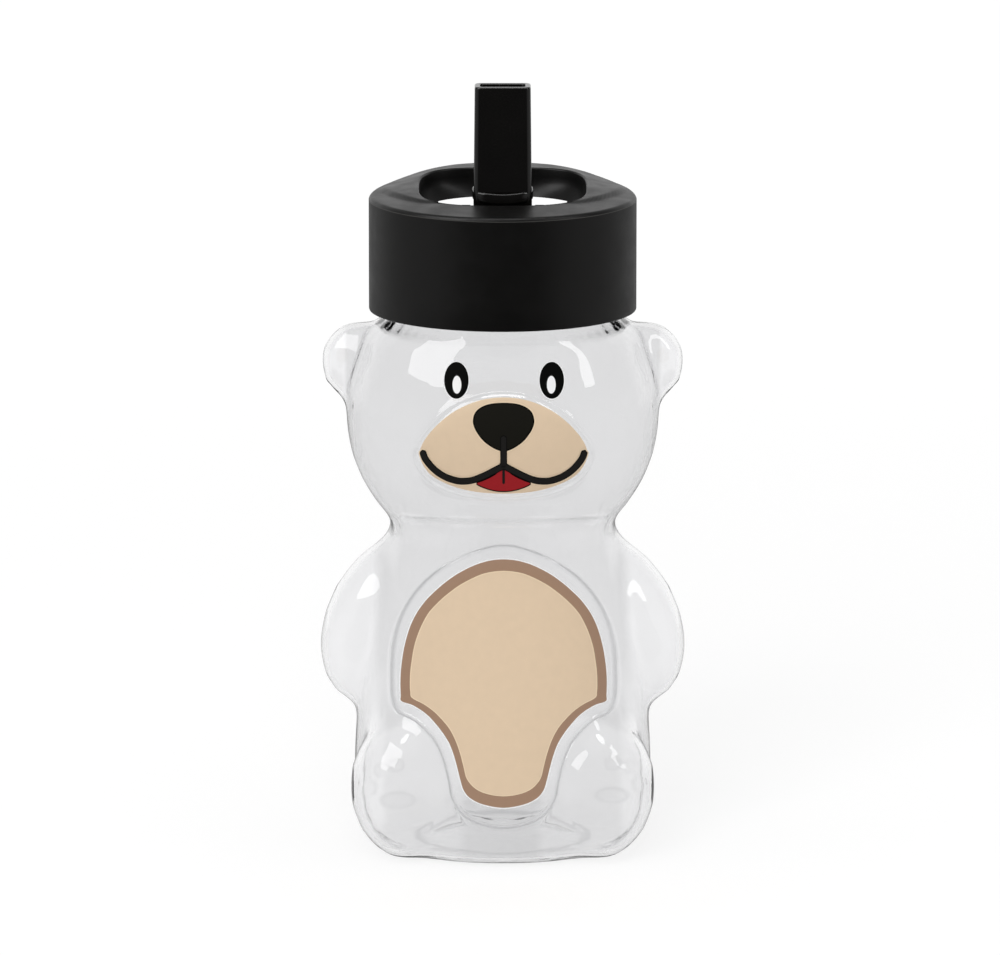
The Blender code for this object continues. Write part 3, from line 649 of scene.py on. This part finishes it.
group = bottle.vertex_groups.new(name="wall")
thin = bear["wall"] / bear["neckWall"]
for v in bottle.data.vertices:
    inNeck = (v.co.z / mm - bear["shoulder"][1]) / bear["wallBlend"]
    group.add([v.index], thin + (1 - thin) * min(1.0, max(0.0, inNeck)), "REPLACE")
modify(bottle, "wall", "SOLIDIFY", thickness=bear["neckWall"] * mm, offset=-1, vertex_group="wall")
finishPiece(bottle, "bottle", clearMaterial, ["bottle_body"])
bottle.visible_diffuse = False  # light goes through clear plastic to the floor and the ink


# thread on the neck
screw = dict(
    pitch=4.2, turns=1.15, height=1.1, sunk=0.5, root=1.0, crest=0.45, foot=149.67, stepsPerTurn=72,
    edge=0.3, edgeAngle=40,
)
bm = bmesh.new()
inner = bear["neckRadius"] - screw["sunk"]
outer = bear["neckRadius"] + screw["height"]
section = [
    (inner, -screw["root"]), (outer, -screw["crest"]),
    (outer, screw["crest"]), (inner, screw["root"]),
]
corners = [bm.verts.new((r * mm, 0, (screw["foot"] + z) * mm)) for r, z in section]
profile = bm.faces.new(corners)
steps = round(screw["turns"] * screw["stepsPerTurn"])
bmesh.ops.spin(
    bm, geom=[profile, *profile.edges, *profile.verts], cent=(0, 0, 0), axis=(0, 0, 1),
    dvec=(0, 0, screw["pitch"] / screw["stepsPerTurn"] * mm),
    angle=math.tau * screw["turns"], steps=steps, use_merge=False,
)
bmesh.ops.remove_doubles(bm, verts=bm.verts, dist=0.001 * mm)
faceOutwards(bm)
thread = objectFrom("neckThread", bm)
roundEdges(thread, screw)
finishPiece(thread, "bottle", clearMaterial)
print("neck and thread done")


# prints: each colour is its own sheet of ink on the front
inkLayer = 0.05  # millimetres from one colour to the next
inkGround = 0.06  # and from the plastic to the first
latticePixels = 4  # the sheets are cut this finely, so that they bend with the bottle
latticeShift = 0.53  # keeps the cuts off the outlines' own points
columnPixels = 1.5  # one column of a brush line


def layDown(name, bm, layer, ink):
    # Flat ink in photo pixels is cut into small facets and laid on the bottle.
    xs = [v.co.x for v in bm.verts]
    ys = [v.co.y for v in bm.verts]
    for normal, low, high in ((Vector((1, 0, 0)), min(xs), max(xs)), (Vector((0, 1, 0)), min(ys), max(ys))):
        place = low + latticePixels * latticeShift
        while place < high:
            bmesh.ops.bisect_plane(bm, geom=allOf(bm), dist=1e-4, plane_co=normal * place, plane_no=normal)
            place += latticePixels
    bmesh.ops.remove_doubles(bm, verts=bm.verts, dist=0.02)
    bmesh.ops.triangulate(bm, faces=bm.faces)
    for v in bm.verts:
        ray = rayThrough(v.co.x, v.co.y)
        hit = surface.ray_cast(eye, ray)
        v.co = hit[0] - ray * ((layer * inkLayer + inkGround) * mm)
    faceOutwards(bm)
    if sum(f.normal.y * f.calc_area() for f in bm.faces) > 0:
        bmesh.ops.reverse_faces(bm, faces=bm.faces)
    finishPiece(objectFrom(name, bm), "bottle", inks[ink])


def outlineSheet(name, half, layer, ink, grow=0.0):
    ring = wholeOutline(half)
    along = np.roll(ring, -1, axis=0) - np.roll(ring, 1, axis=0)
    along /= np.maximum(np.linalg.norm(along, axis=1), 1e-9)[:, None]
    ring = ring + np.stack([along[:, 1], -along[:, 0]], 1) * grow
    bm = bmesh.new()
    made = bmesh.ops.create_circle(bm, cap_ends=True, radius=1, segments=len(ring))
    for v, (x, y) in zip(made["verts"], ring):
        v.co = (x, y, 0)
    bmesh.ops.triangulate(bm, faces=bm.faces)
    layDown(name, bm, layer, ink)


def ovalSheet(name, centres, halfWide, halfHigh, layer, ink):
    bm = bmesh.new()
    for x, y in centres:
        place = Matrix.Translation((x, y, 0)) @ Matrix.Diagonal((halfWide, halfHigh, 1, 1))
        bmesh.ops.create_circle(bm, cap_ends=True, radius=1, segments=72, matrix=place)
    layDown(name, bm, layer, ink)


def lineSheet(name, lines, width, layer, ink):
    # Round-ended brush lines through pixel points.
    bm = bmesh.new()
    for line in lines:
        points = [Vector(p) for p in line]
        dense = []
        padded = [points[0], *points, points[-1]]
        for four in zip(padded, padded[1:], padded[2:], padded[3:]):
            dense += [through(*four, step / lineSteps) for step in range(lineSteps)]
        dense.append(points[-1])
        lengths = [0.0]
        for first, second in zip(dense, dense[1:]):
            lengths.append(lengths[-1] + (second - first).length)
        total = lengths[-1]
        columns = max(16, int(total / columnPixels))
        made = bmesh.ops.create_grid(bm, x_segments=columns, y_segments=2, size=1)
        for v in made["verts"]:
            reach = (v.co.x + 1) / 2 * (total + width) - width / 2
            inside = min(max(reach, 0.0), total)
            k = max(i for i, length in enumerate(lengths) if length <= inside + 1e-9)
            k = min(k, len(dense) - 2)
            direction = (dense[k + 1] - dense[k]).normalized()
            share = (inside - lengths[k]) / max(lengths[k + 1] - lengths[k], 1e-9)
            centre = dense[k].lerp(dense[k + 1], share) + direction * (reach - inside)
            over = abs(reach - inside)
            half = math.sqrt(max((width / 2) ** 2 - over**2, 1e-4))
            across = Vector((-direction.y, direction.x))
            spot = centre + across * (v.co.y * half)
            v.co = (axisPixel + spot.x, spot.y, 0)
    layDown(name, bm, layer, ink)


inkColours = dict(
    tan=(221, 198, 170), brown=(160, 131, 110), pale=(232, 210, 180), black=(9, 9, 8),
    nose=(26, 25, 21), mouth=(32, 31, 30), red=(152, 35, 40), white=(242, 242, 242),
)
inks = {name: makeInk("ink" + name.capitalize(), colour) for name, colour in inkColours.items()}

mouthLeft = [
    (-80.6, 453), (-79, 457.5), (-76.1, 462), (-71.6, 467.3), (-65.5, 472.6), (-57.5, 477.3),
    (-48, 480.5), (-40.5, 481.3), (-31, 480.2), (-20, 476), (-10, 471), (0, 465.8),
]
mouthRight = [(-x, y) for x, y in mouthLeft]
noseLine = [(0, 438.5), (0, 452), (0, 466)]
mouthLines = [mouthLeft, mouthRight, noseLine]
eyes = [(456.4, 380.3), (551.8, 380.3)]
pupils = [(456.9, 384.7), (551.3, 384.7)]

# the number before a colour is its layer
outlineSheet("muzzlePrint", muzzleHalf, 1, "tan")
outlineSheet("noseHaloPrint", noseHalf, 2, "pale", grow=1.3)
lineSheet("mouthHaloPrint", mouthLines, 9.0, 2.2, "pale")
outlineSheet("tongueEdgePrint", tongueHalf, 3, "black", grow=1.1)
outlineSheet("tonguePrint", tongueHalf, 4, "red")
lineSheet("tongueCreasePrint", [[(0, 470), (0, 476), (0, 483)]], 2.6, 5, "mouth")
outlineSheet("noseEdgePrint", noseHalf, 4, "black")
outlineSheet("nosePrint", noseHalf, 5, "nose", grow=-1.3)
lineSheet("mouthEdgePrint", mouthLines, 6.8, 6, "black")
lineSheet("mouthPrint", mouthLines, 5.4, 7, "mouth")
ovalSheet("eyeRimPrint", eyes, 13.2, 19.4, 1, "white")
ovalSheet("eyePrint", eyes, 12.2, 18.4, 2, "black")
ovalSheet("pupilPrint", pupils, 4.4, 8.9, 3, "white")
outlineSheet("bellyRimPrint", bellyHalf, 1, "white", grow=1.2)
outlineSheet("bellyEdgePrint", bellyHalf, 2, "brown")
outlineSheet("bellyHaloPrint", bellyFillHalf, 3, "pale", grow=0.4)
outlineSheet("bellyPrint", bellyFillHalf, 4, "tan", grow=-0.7)
print("prints laid on the bottle")


# lid shell: skirt, sloping crown round a squarish recess, hoop over the finger window
lid = dict(
    radius=35, wall=1.8, bottom=143.4, top=172,
    footRound=((0.35, 0), (0.1, 0.1), (0, 0.35)),  # inwards and upwards
    innerFoot=(0.2, 0.2), skirtShares=(0.8, 0.6, 0.4, 0.2),
    rimRound=1.1, partingDrop=1, partingWidth=0.09, partingStep=0.02,
    # how far the rim stands over the skirt's top, by place from front to back
    rimHeights=[(-35, 1.2), (-25, 1.3), (-15, 1.45), (-6, 1.4), (0, 1.4), (5, 1.45), (9.5, 1.6), (14, 1.75),
                (18, 1.95), (21.5, 2.35), (24.5, 2.8), (27.3, 3.4), (30, 3.92), (32.5, 4.35), (35, 4.55)],
    recessHalf=(21.8, 22.9), recessCentre=1.2, recessSquareness=(2.9, 3.5),
    recessHeights=(2.35, 4.75),  # over the front edge, at the recess's front and back
    lipRound=0.5,
    # the crown's crease leaves the rim behind the sides (degrees) and comes in to the recess in front
    creaseDepth=0.85, creaseFrom=22, creaseSpan=74, creaseWidth=0.1,
    crownRows=16, crownReach=0.95,
    wallShares=(0.25, 0.45, 0.6, 0.75, 0.9, 1), wallUpright=0.45, wallCurve=1.5,
    tubHalf=(21.2, 22.7), tubCentre=1.4, underside=3.1, lipWidth=2.8, skin=1.9,
    # the hollow under the crown, from behind the recess's wall out to the rim
    wallThick=1.7, tubGap=0.2, hollowFoot=0.8, hollowTop=0.6, hollowMiddle=(4.6, 0.3), hollowRim=0.3,
    hoopFloor=0.1, windowHalfWidth=17, hoopHalfWidth=18.6, hoopUnderside=2.85, deckTop=161.2, windowSpare=3,
    columnRadius=30, steps=240, edge=0.25, edgeAngle=50,
)


def rimHeight(y):
    places, heights = zip(*lid["rimHeights"])
    return float(np.interp(y, places, heights))


def rimPoint(angle, inwards=0.0):
    radius = lid["radius"] - inwards
    return Vector((radius * math.cos(angle), radius * math.sin(angle)))


def recessPoint(angle, half, centre, squareness, outwards=0.0):
    c, s = abs(math.cos(angle)) / half[0], abs(math.sin(angle)) / half[1]
    reach = (c**squareness + s**squareness) ** (-1 / squareness) + outwards
    return Vector((reach * math.cos(angle), centre + reach * math.sin(angle)))


def topEdge(angle, outwards=0.0):
    front, back = lid["recessSquareness"]
    squareness = front + (back - front) * (math.sin(angle) + 1) / 2
    return recessPoint(angle, lid["recessHalf"], lid["recessCentre"], squareness, outwards)


def tubEdge(angle, outwards=0.0):
    return recessPoint(angle, lid["tubHalf"], lid["tubCentre"], 2.0, outwards)


def recessHeight(y):
    front, back = lid["recessHeights"]
    middle, half = lid["recessCentre"], lid["recessHalf"][1]
    return front + (back - front) * (y - middle + half) / (2 * half)


def crownSpot(angle, share):
    # A place on the crown: share 0 at the rim, 1 at the recess.
    outer, inner = rimPoint(angle, lid["rimRound"]), topEdge(angle)
    spot = outer.lerp(inner, share)
    low, high = rimHeight(rimPoint(angle).y), recessHeight(inner.y)
    backwards = math.degrees(math.asin(math.sin(angle)))
    crease = min(1.0, max(0.0, (lid["creaseFrom"] - backwards) / lid["creaseSpan"]))
    step = min(1.0, max(0.0, (share - crease) / lid["creaseWidth"] + 0.5))
    step = step * step * (3 - 2 * step)
    height = low + (high - low) * share + lid["creaseDepth"] * (step - share) * 4 * crease * (1 - crease)
    return spot.x, spot.y, height


def lidRows():
    # Every row of the section as a function of the angle, with the strength there of the painted highlight
    # along the parting line.
    low = lid["bottom"] - lid["top"]
    rounding, drop, width = lid["rimRound"], lid["partingDrop"], lid["partingWidth"]
    rows = []

    def skirt(inwards, height, fromRim=False, line=0.0):
        def place(angle):
            spot = rimPoint(angle, inwards)
            lift = rimHeight(rimPoint(angle).y) if fromRim else 0.0
            return spot.x, spot.y, height + lift
        rows.append((place, line))

    for inwards, upwards in lid["footRound"]:
        skirt(inwards, low + upwards)
    for share in lid["skirtShares"]:
        skirt(0.0, low * share)
    skirt(0.0, -drop - 1.5 * width, fromRim=True)
    # the parting line's two rows carry its painted highlight
    skirt(0.0, -drop - 0.5 * width, fromRim=True, line=1.0)
    skirt(0.0, -drop + 0.5 * width, fromRim=True, line=1.0)
    skirt(lid["partingStep"], -drop + 1.5 * width, fromRim=True)
    for turn in (15, 30, 45, 60, 75, 90):
        a = math.radians(turn)
        skirt(rounding * (1 - math.cos(a)), -rounding * (1 - math.sin(a)), fromRim=True)
    for step in range(1, lid["crownRows"] + 1):
        share = lid["crownReach"] * step / lid["crownRows"]
        rows.append((lambda angle, share=share: crownSpot(angle, share), 0.0))

    def lip(outwards, down):
        def place(angle):
            spot = topEdge(angle, outwards)
            return spot.x, spot.y, recessHeight(topEdge(angle).y) - down
        rows.append((place, 0.0))

    radius = lid["lipRound"]
    for turn in (90, 67.5, 45, 22.5, 0):
        a = math.radians(turn)
        lip(radius * (1 - math.cos(a)), radius * (1 - math.sin(a)))

    def wall(share):
        def place(angle):
            upper, under = topEdge(angle), tubEdge(angle)
            bend = max(0.0, (share - lid["wallUpright"]) / (1 - lid["wallUpright"]))
            spot = upper.lerp(under, bend ** lid["wallCurve"])
            height = recessHeight(upper.y) - radius
            return spot.x, spot.y, height + (-lid["underside"] - height) * share
        rows.append((place, 0.0))

    for share in lid["wallShares"]:
        wall(share)

    def isHoop(angle):
        reach = abs(tubEdge(angle, lid["lipWidth"]).x)
        return math.sin(angle) > 0 and reach < lid["hoopHalfWidth"]

    def hollow(place):
        def settled(angle):
            x, y, height = place(angle)
            return x, y, (lid["hoopFloor"] - lid["underside"] if isHoop(angle) else height)
        rows.append((settled, 0.0))

    def foot(angle):
        spot = tubEdge(angle, lid["lipWidth"])
        return spot.x, spot.y, -lid["underside"]

    def behindWall(height):
        def place(angle):
            upper, under = topEdge(angle, lid["wallThick"]), tubEdge(angle, lid["lipWidth"] + lid["tubGap"])
            spot = upper if upper.length > under.length else under
            level = recessHeight(spot.y) - lid["hollowTop"] - lid["skin"] if height is None else height
            return spot.x, spot.y, level
        return place

    rows.append((foot, 0.0))
    hollow(behindWall(-lid["underside"] + lid["hollowFoot"]))
    hollow(behindWall(None))
    inwards, crownShare = lid["hollowMiddle"]
    hollow(lambda angle: (*rimPoint(angle, inwards), crownSpot(angle, crownShare)[2] - lid["skin"]))
    hollow(lambda angle: (*rimPoint(angle, lid["wall"]), -lid["hollowRim"] - lid["skin"]))
    narrow, upwards = lid["innerFoot"]
    skirt(lid["wall"], low + upwards)
    skirt(lid["wall"] - narrow, low)
    return rows


def makeLidShell():
    # A column of points is turned round the axis, then each goes to its place in its row.
    rows = lidRows()
    bm = bmesh.new()
    rowLayer = bm.verts.layers.int.new("row")
    chain = []
    for number in range(len(rows)):
        v = bm.verts.new((lid["columnRadius"] * mm, 0, number * mm))
        v[rowLayer] = number
        chain.append(v)
    edges = [bm.edges.new(pair) for pair in zip(chain, chain[1:] + chain[:1])]
    bmesh.ops.spin(
        bm, geom=chain + edges, cent=(0, 0, 0), axis=(0, 0, 1), angle=math.tau, steps=lid["steps"],
        use_merge=True,
    )
    partingHighlightLayer = bm.verts.layers.float.new("partingHighlight")
    for v in bm.verts:
        place, line = rows[v[rowLayer]]
        x, y, height = place(math.atan2(v.co.y, v.co.x))
        v.co = (x * mm, y * mm, (lid["top"] + height) * mm)
        v[partingHighlightLayer] = line
    faceOutwards(bm)
    shell = objectFrom("lidShell", bm)
    bm = bmesh.new()
    low = Vector((-lid["windowHalfWidth"], 0, lid["deckTop"]))
    back = lid["radius"] + lid["windowSpare"]
    high = Vector((lid["windowHalfWidth"], back, lid["top"] - lid["hoopUnderside"]))
    place = Matrix.Translation((low + high) / 2 * mm) @ Matrix.Diagonal((*((high - low) * mm), 1))
    bmesh.ops.create_cube(bm, size=1, matrix=place)
    subtract(shell, objectFrom("fingerWindow", bm))
    return shell


shell = makeLidShell()
roundEdges(shell, lid)
finishPiece(shell, "lid", satinBlack, ["lid_shell"])
shell.data.set_sharp_from_angle(angle=math.radians(lid["edgeAngle"]))
print("lid shell done")


# spout: flat tube on a cross barrel with a collar
spout = dict(
    pivot=(0, -14.5, 170.5), length=34.2, halfWidth=7.6, tipHalfWidth=7.25, halfDepth=4.1, corner=1.6,
    wall=1.5, channelFoot=1.5, channelCorner=0.9, channelSpare=2,
    panelBorder=1.15, panelSlope=0.15, panelDepth=0.12,
    barrelRadius=4.6, barrelHalf=7.6, stubRadius=1.6, stubHalf=10.4,
    collarHalf=(7.9, 5.3), collarSquareness=3, collarFrom=4.6, collarHeight=2.9, collarDip=1.1,
    collarEdge=0.6, edge=0.35, edgeAngle=42, sharpAngle=40,
)


def roundedBar(bm, halfX, halfY, low, high, corner):
    # An upright bar with rounded corners, about the spout's pivot.
    px, py, pz = spout["pivot"]
    place = (
        Matrix.Translation((px * mm, py * mm, (pz + (low + high) / 2) * mm))
        @ Matrix.Diagonal((2 * halfX * mm, 2 * halfY * mm, (high - low) * mm, 1))
    )
    made = bmesh.ops.create_cube(bm, size=1, matrix=place)
    edges = {e for v in made["verts"] for e in v.link_edges}
    upright = [e for e in edges if abs(e.verts[0].co.z - e.verts[1].co.z) > 0.1 * mm]
    bevelEdges(bm, upright, corner)


def lyingRod(bm, radius, half):
    px, py, pz = spout["pivot"]
    place = Matrix.Translation((px * mm, py * mm, pz * mm)) @ Matrix.Rotation(math.pi / 2, 4, "Y")
    bmesh.ops.create_cone(
        bm, cap_ends=True, segments=72, radius1=radius * mm, radius2=radius * mm, depth=2 * half * mm,
        matrix=place,
    )


def collar(bm):
    # A bulging band round the tube's foot whose edges dip towards the front.
    px, py, pz = spout["pivot"]
    height = spout["collarHeight"]
    made = bmesh.ops.create_cone(
        bm, cap_ends=True, segments=96, radius1=1, radius2=1, depth=height * mm,
        matrix=Matrix.Translation((0, 0, (pz + spout["collarFrom"] + height / 2) * mm)),
    )
    edges = {e for v in made["verts"] for e in v.link_edges}
    rims = [e for e in edges if abs(e.verts[0].co.z - e.verts[1].co.z) < 0.01 * mm]
    for v in made["verts"]:
        angle = math.atan2(v.co.y, v.co.x)
        spot = recessPoint(angle, spout["collarHalf"], 0, spout["collarSquareness"])
        dip = spout["collarDip"] * max(0.0, -math.sin(angle))
        v.co = ((px + spot.x) * mm, (py + spot.y) * mm, v.co.z - dip * mm)
    bevelEdges(bm, rims, spout["collarEdge"])


def makeSpout():
    tip = (spout["pivot"][2] + spout["length"]) * mm
    bm = bmesh.new()
    roundedBar(bm, spout["halfWidth"], spout["halfDepth"], 0, spout["length"], spout["corner"])
    top = [v for v in bm.verts if v.co.z > tip - 0.1 * mm]
    bmesh.ops.scale(bm, vec=(spout["tipHalfWidth"] / spout["halfWidth"], 1, 1), verts=top)
    bm.normal_update()
    panels = [f for f in bm.faces if abs(f.normal.y) > 0.99]
    for thickness, depth in ((spout["panelBorder"], 0), (spout["panelSlope"], -spout["panelDepth"])):
        bmesh.ops.inset_individual(
            bm, faces=panels, thickness=thickness * mm, depth=depth * mm, use_even_offset=True
        )
    tube = objectFrom("flipSpout", bm)

    bm = bmesh.new()
    inX, inY = spout["tipHalfWidth"] - spout["wall"], spout["halfDepth"] - spout["wall"]
    top = spout["length"] + spout["channelSpare"]
    roundedBar(bm, inX, inY, spout["channelFoot"], top, spout["channelCorner"])
    subtract(tube, objectFrom("channel", bm))

    bm = bmesh.new()
    bm.from_mesh(tube.data)
    lyingRod(bm, spout["barrelRadius"], spout["barrelHalf"])
    lyingRod(bm, spout["stubRadius"], spout["stubHalf"])
    collar(bm)
    faceOutwards(bm)
    bm.to_mesh(tube.data)
    bm.free()
    return tube


flipSpout = makeSpout()
roundEdges(flipSpout, spout)
finishPiece(flipSpout, "spout", glossSpout, ["drinking_spout"])
flipSpout.data.set_sharp_from_angle(angle=math.radians(spout["sharpAngle"]))
modify(flipSpout, "flatFaces", "WEIGHTED_NORMAL", keep_sharp=True, weight=100)
print("spout done")


# pieces kept as the CAD made them get their materials here
def dress(node, material):
    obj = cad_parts[node]
    obj.data.materials.clear()
    obj.data.materials.append(material)


dress("lid_insert", glossBlack)
dress("lid_gasket", makeSilicone("clearSilicone", (222, 223, 224), 0.35))
dress("spout_seal", makeSilicone("greySilicone", (132, 132, 134)))
dress("vent_valve", makeSilicone("darkSilicone", (52, 52, 55)))


# studio: white floor and backdrop, a soft window on the left and a narrow one on the right
studio = dict(
    floorSize=16,
    # by distance from the bottle: from, to, value there and there; the floor turns into the backdrop
    floorColour=(0.25, 0.95, 0.7, 0.12),
    floorLift=(0.25, 0.95, 0.305, 0.9),  # added where the floor itself is seen, so that it is white
    ambient=(0, 1, 0.76, 0.95),  # light by height, from the sides and below up to overhead
    # the room as gloss shows it, by a part of the direction
    roomDark=0.08,  # in front and overhead
    behind=(0.15, 0.65, 0, 1),
    lowDown=(0.3, 0.8, 1, 0.26),
    below=(-0.15, 0.02, 0.35, 1),
    ceiling=(0.72, 0.9, 0, 0.4),
    aside=(0.45, 0.85, 0, 0.45),
    asideHeight=(0, 0.35, 1, 0),
    left=dict(place=(-0.963, -0.699, 1.096), size=(1.05, 1.1), brightness=4),
    right=dict(place=(1.077, -0.573, 1.055), size=(0.27, 1.15), brightness=4.6),
    top=dict(place=(0, -0.3, 1.5), size=(0.9, 0.26), brightness=6),
    fill=dict(place=(-0.45, -2, 1.4), size=(1.6, 1.6), brightness=2.2),
    aim=(0, 0, 0.1),
)


def seenDirectly(tree):
    # 1 for camera, glossy and transmission rays.
    rays = tree.nodes.new("ShaderNodeLightPath").outputs
    first = reckoned(tree, "MAXIMUM", rays["Is Camera Ray"], rays["Is Glossy Ray"])
    return reckoned(tree, "MAXIMUM", first, rays["Is Transmission Ray"])


bm = bmesh.new()
bmesh.ops.create_grid(bm, x_segments=1, y_segments=1, size=studio["floorSize"] / 2)
floor = objectFrom("studioFloor", bm)

floorMaterial = bpy.data.materials.new("studioFloor")
floorMaterial.use_nodes = True
tree = floorMaterial.node_tree
spot = tree.nodes.new("ShaderNodeTexCoord").outputs["Object"]
distance = addNode(tree, "VectorMath", {0: spot}, operation="LENGTH").outputs["Value"]
floorColour = mapped(tree, distance, *studio["floorColour"], smooth=True)
floorLift = mapped(tree, distance, *studio["floorLift"], smooth=True)
feed(tree, tree.nodes["Principled BSDF"], {
    "Roughness": 0.9,
    "Specular IOR Level": 0.0,
    "Base Color": floorColour,
    "Emission Color": (1, 1, 1, 1),
    "Emission Strength": reckoned(tree, "MULTIPLY", floorLift, seenDirectly(tree)),
})
floor.data.materials.append(floorMaterial)
floor.visible_glossy = False  # gloss shows the world there, white behind and dark in front

world = bpy.data.worlds.new("studio")
world.use_nodes = True
scene.world = world
tree = world.node_tree
direction = tree.nodes.new("ShaderNodeTexCoord").outputs["Generated"]
x, y, z = addNode(tree, "SeparateXYZ", {0: direction}).outputs
ambient = mapped(tree, z, *studio["ambient"])
behind = mapped(tree, y, *studio["behind"], smooth=True)
lowDown = mapped(tree, z, *studio["lowDown"], smooth=True)
below = mapped(tree, z, *studio["below"], smooth=True)
backdrop = reckoned(tree, "MULTIPLY", reckoned(tree, "MULTIPLY", behind, lowDown), below)
litRoom = reckoned(tree, "MULTIPLY", backdrop, 1.0 - studio["roomDark"])
room = reckoned(tree, "ADD", litRoom, studio["roomDark"])
ceiling = mapped(tree, z, *studio["ceiling"], smooth=True)
aside = mapped(tree, reckoned(tree, "ABSOLUTE", x, 0.0), *studio["aside"], smooth=True)
walls = reckoned(tree, "MULTIPLY", aside, mapped(tree, z, *studio["asideHeight"], smooth=True))
glossy = reckoned(tree, "MAXIMUM", reckoned(tree, "MAXIMUM", room, ceiling), walls)
rays = tree.nodes.new("ShaderNodeLightPath").outputs
seen = reckoned(tree, "MAXIMUM", rays["Is Camera Ray"], rays["Is Transmission Ray"])
glossySeen = reckoned(tree, "MULTIPLY", rays["Is Glossy Ray"], glossy)
unseen = reckoned(tree, "SUBTRACT", 1.0, seenDirectly(tree))
unseenLight = reckoned(tree, "MULTIPLY", unseen, ambient)
total = reckoned(tree, "ADD", unseenLight, reckoned(tree, "MAXIMUM", seen, glossySeen))
feed(tree, tree.nodes["Background"], {"Color": (1, 1, 1, 1), "Strength": total})


def softbox(name, spec):
    data = bpy.data.lights.new(name, "AREA")
    data.shape = "RECTANGLE"
    data.size, data.size_y = wide, high = spec["size"]
    data.energy = math.pi * spec["brightness"] * wide * high
    lamp = bpy.data.objects.new(name, data)
    lamp.location = spec["place"]
    lamp.rotation_euler = (Vector(studio["aim"]) - lamp.location).to_track_quat("-Z", "Y").to_euler()
    lamp.visible_camera = False
    lamp.visible_transmission = False
    scene.collection.objects.link(lamp)
    return lamp


# the windows light the gloss, the fill lights the colours
for name in ("left", "right", "top"):
    softbox(name + "Window", studio[name]).visible_diffuse = False
softbox("frontFill", studio["fill"]).visible_glossy = False

scene.view_settings.view_transform = "Standard"
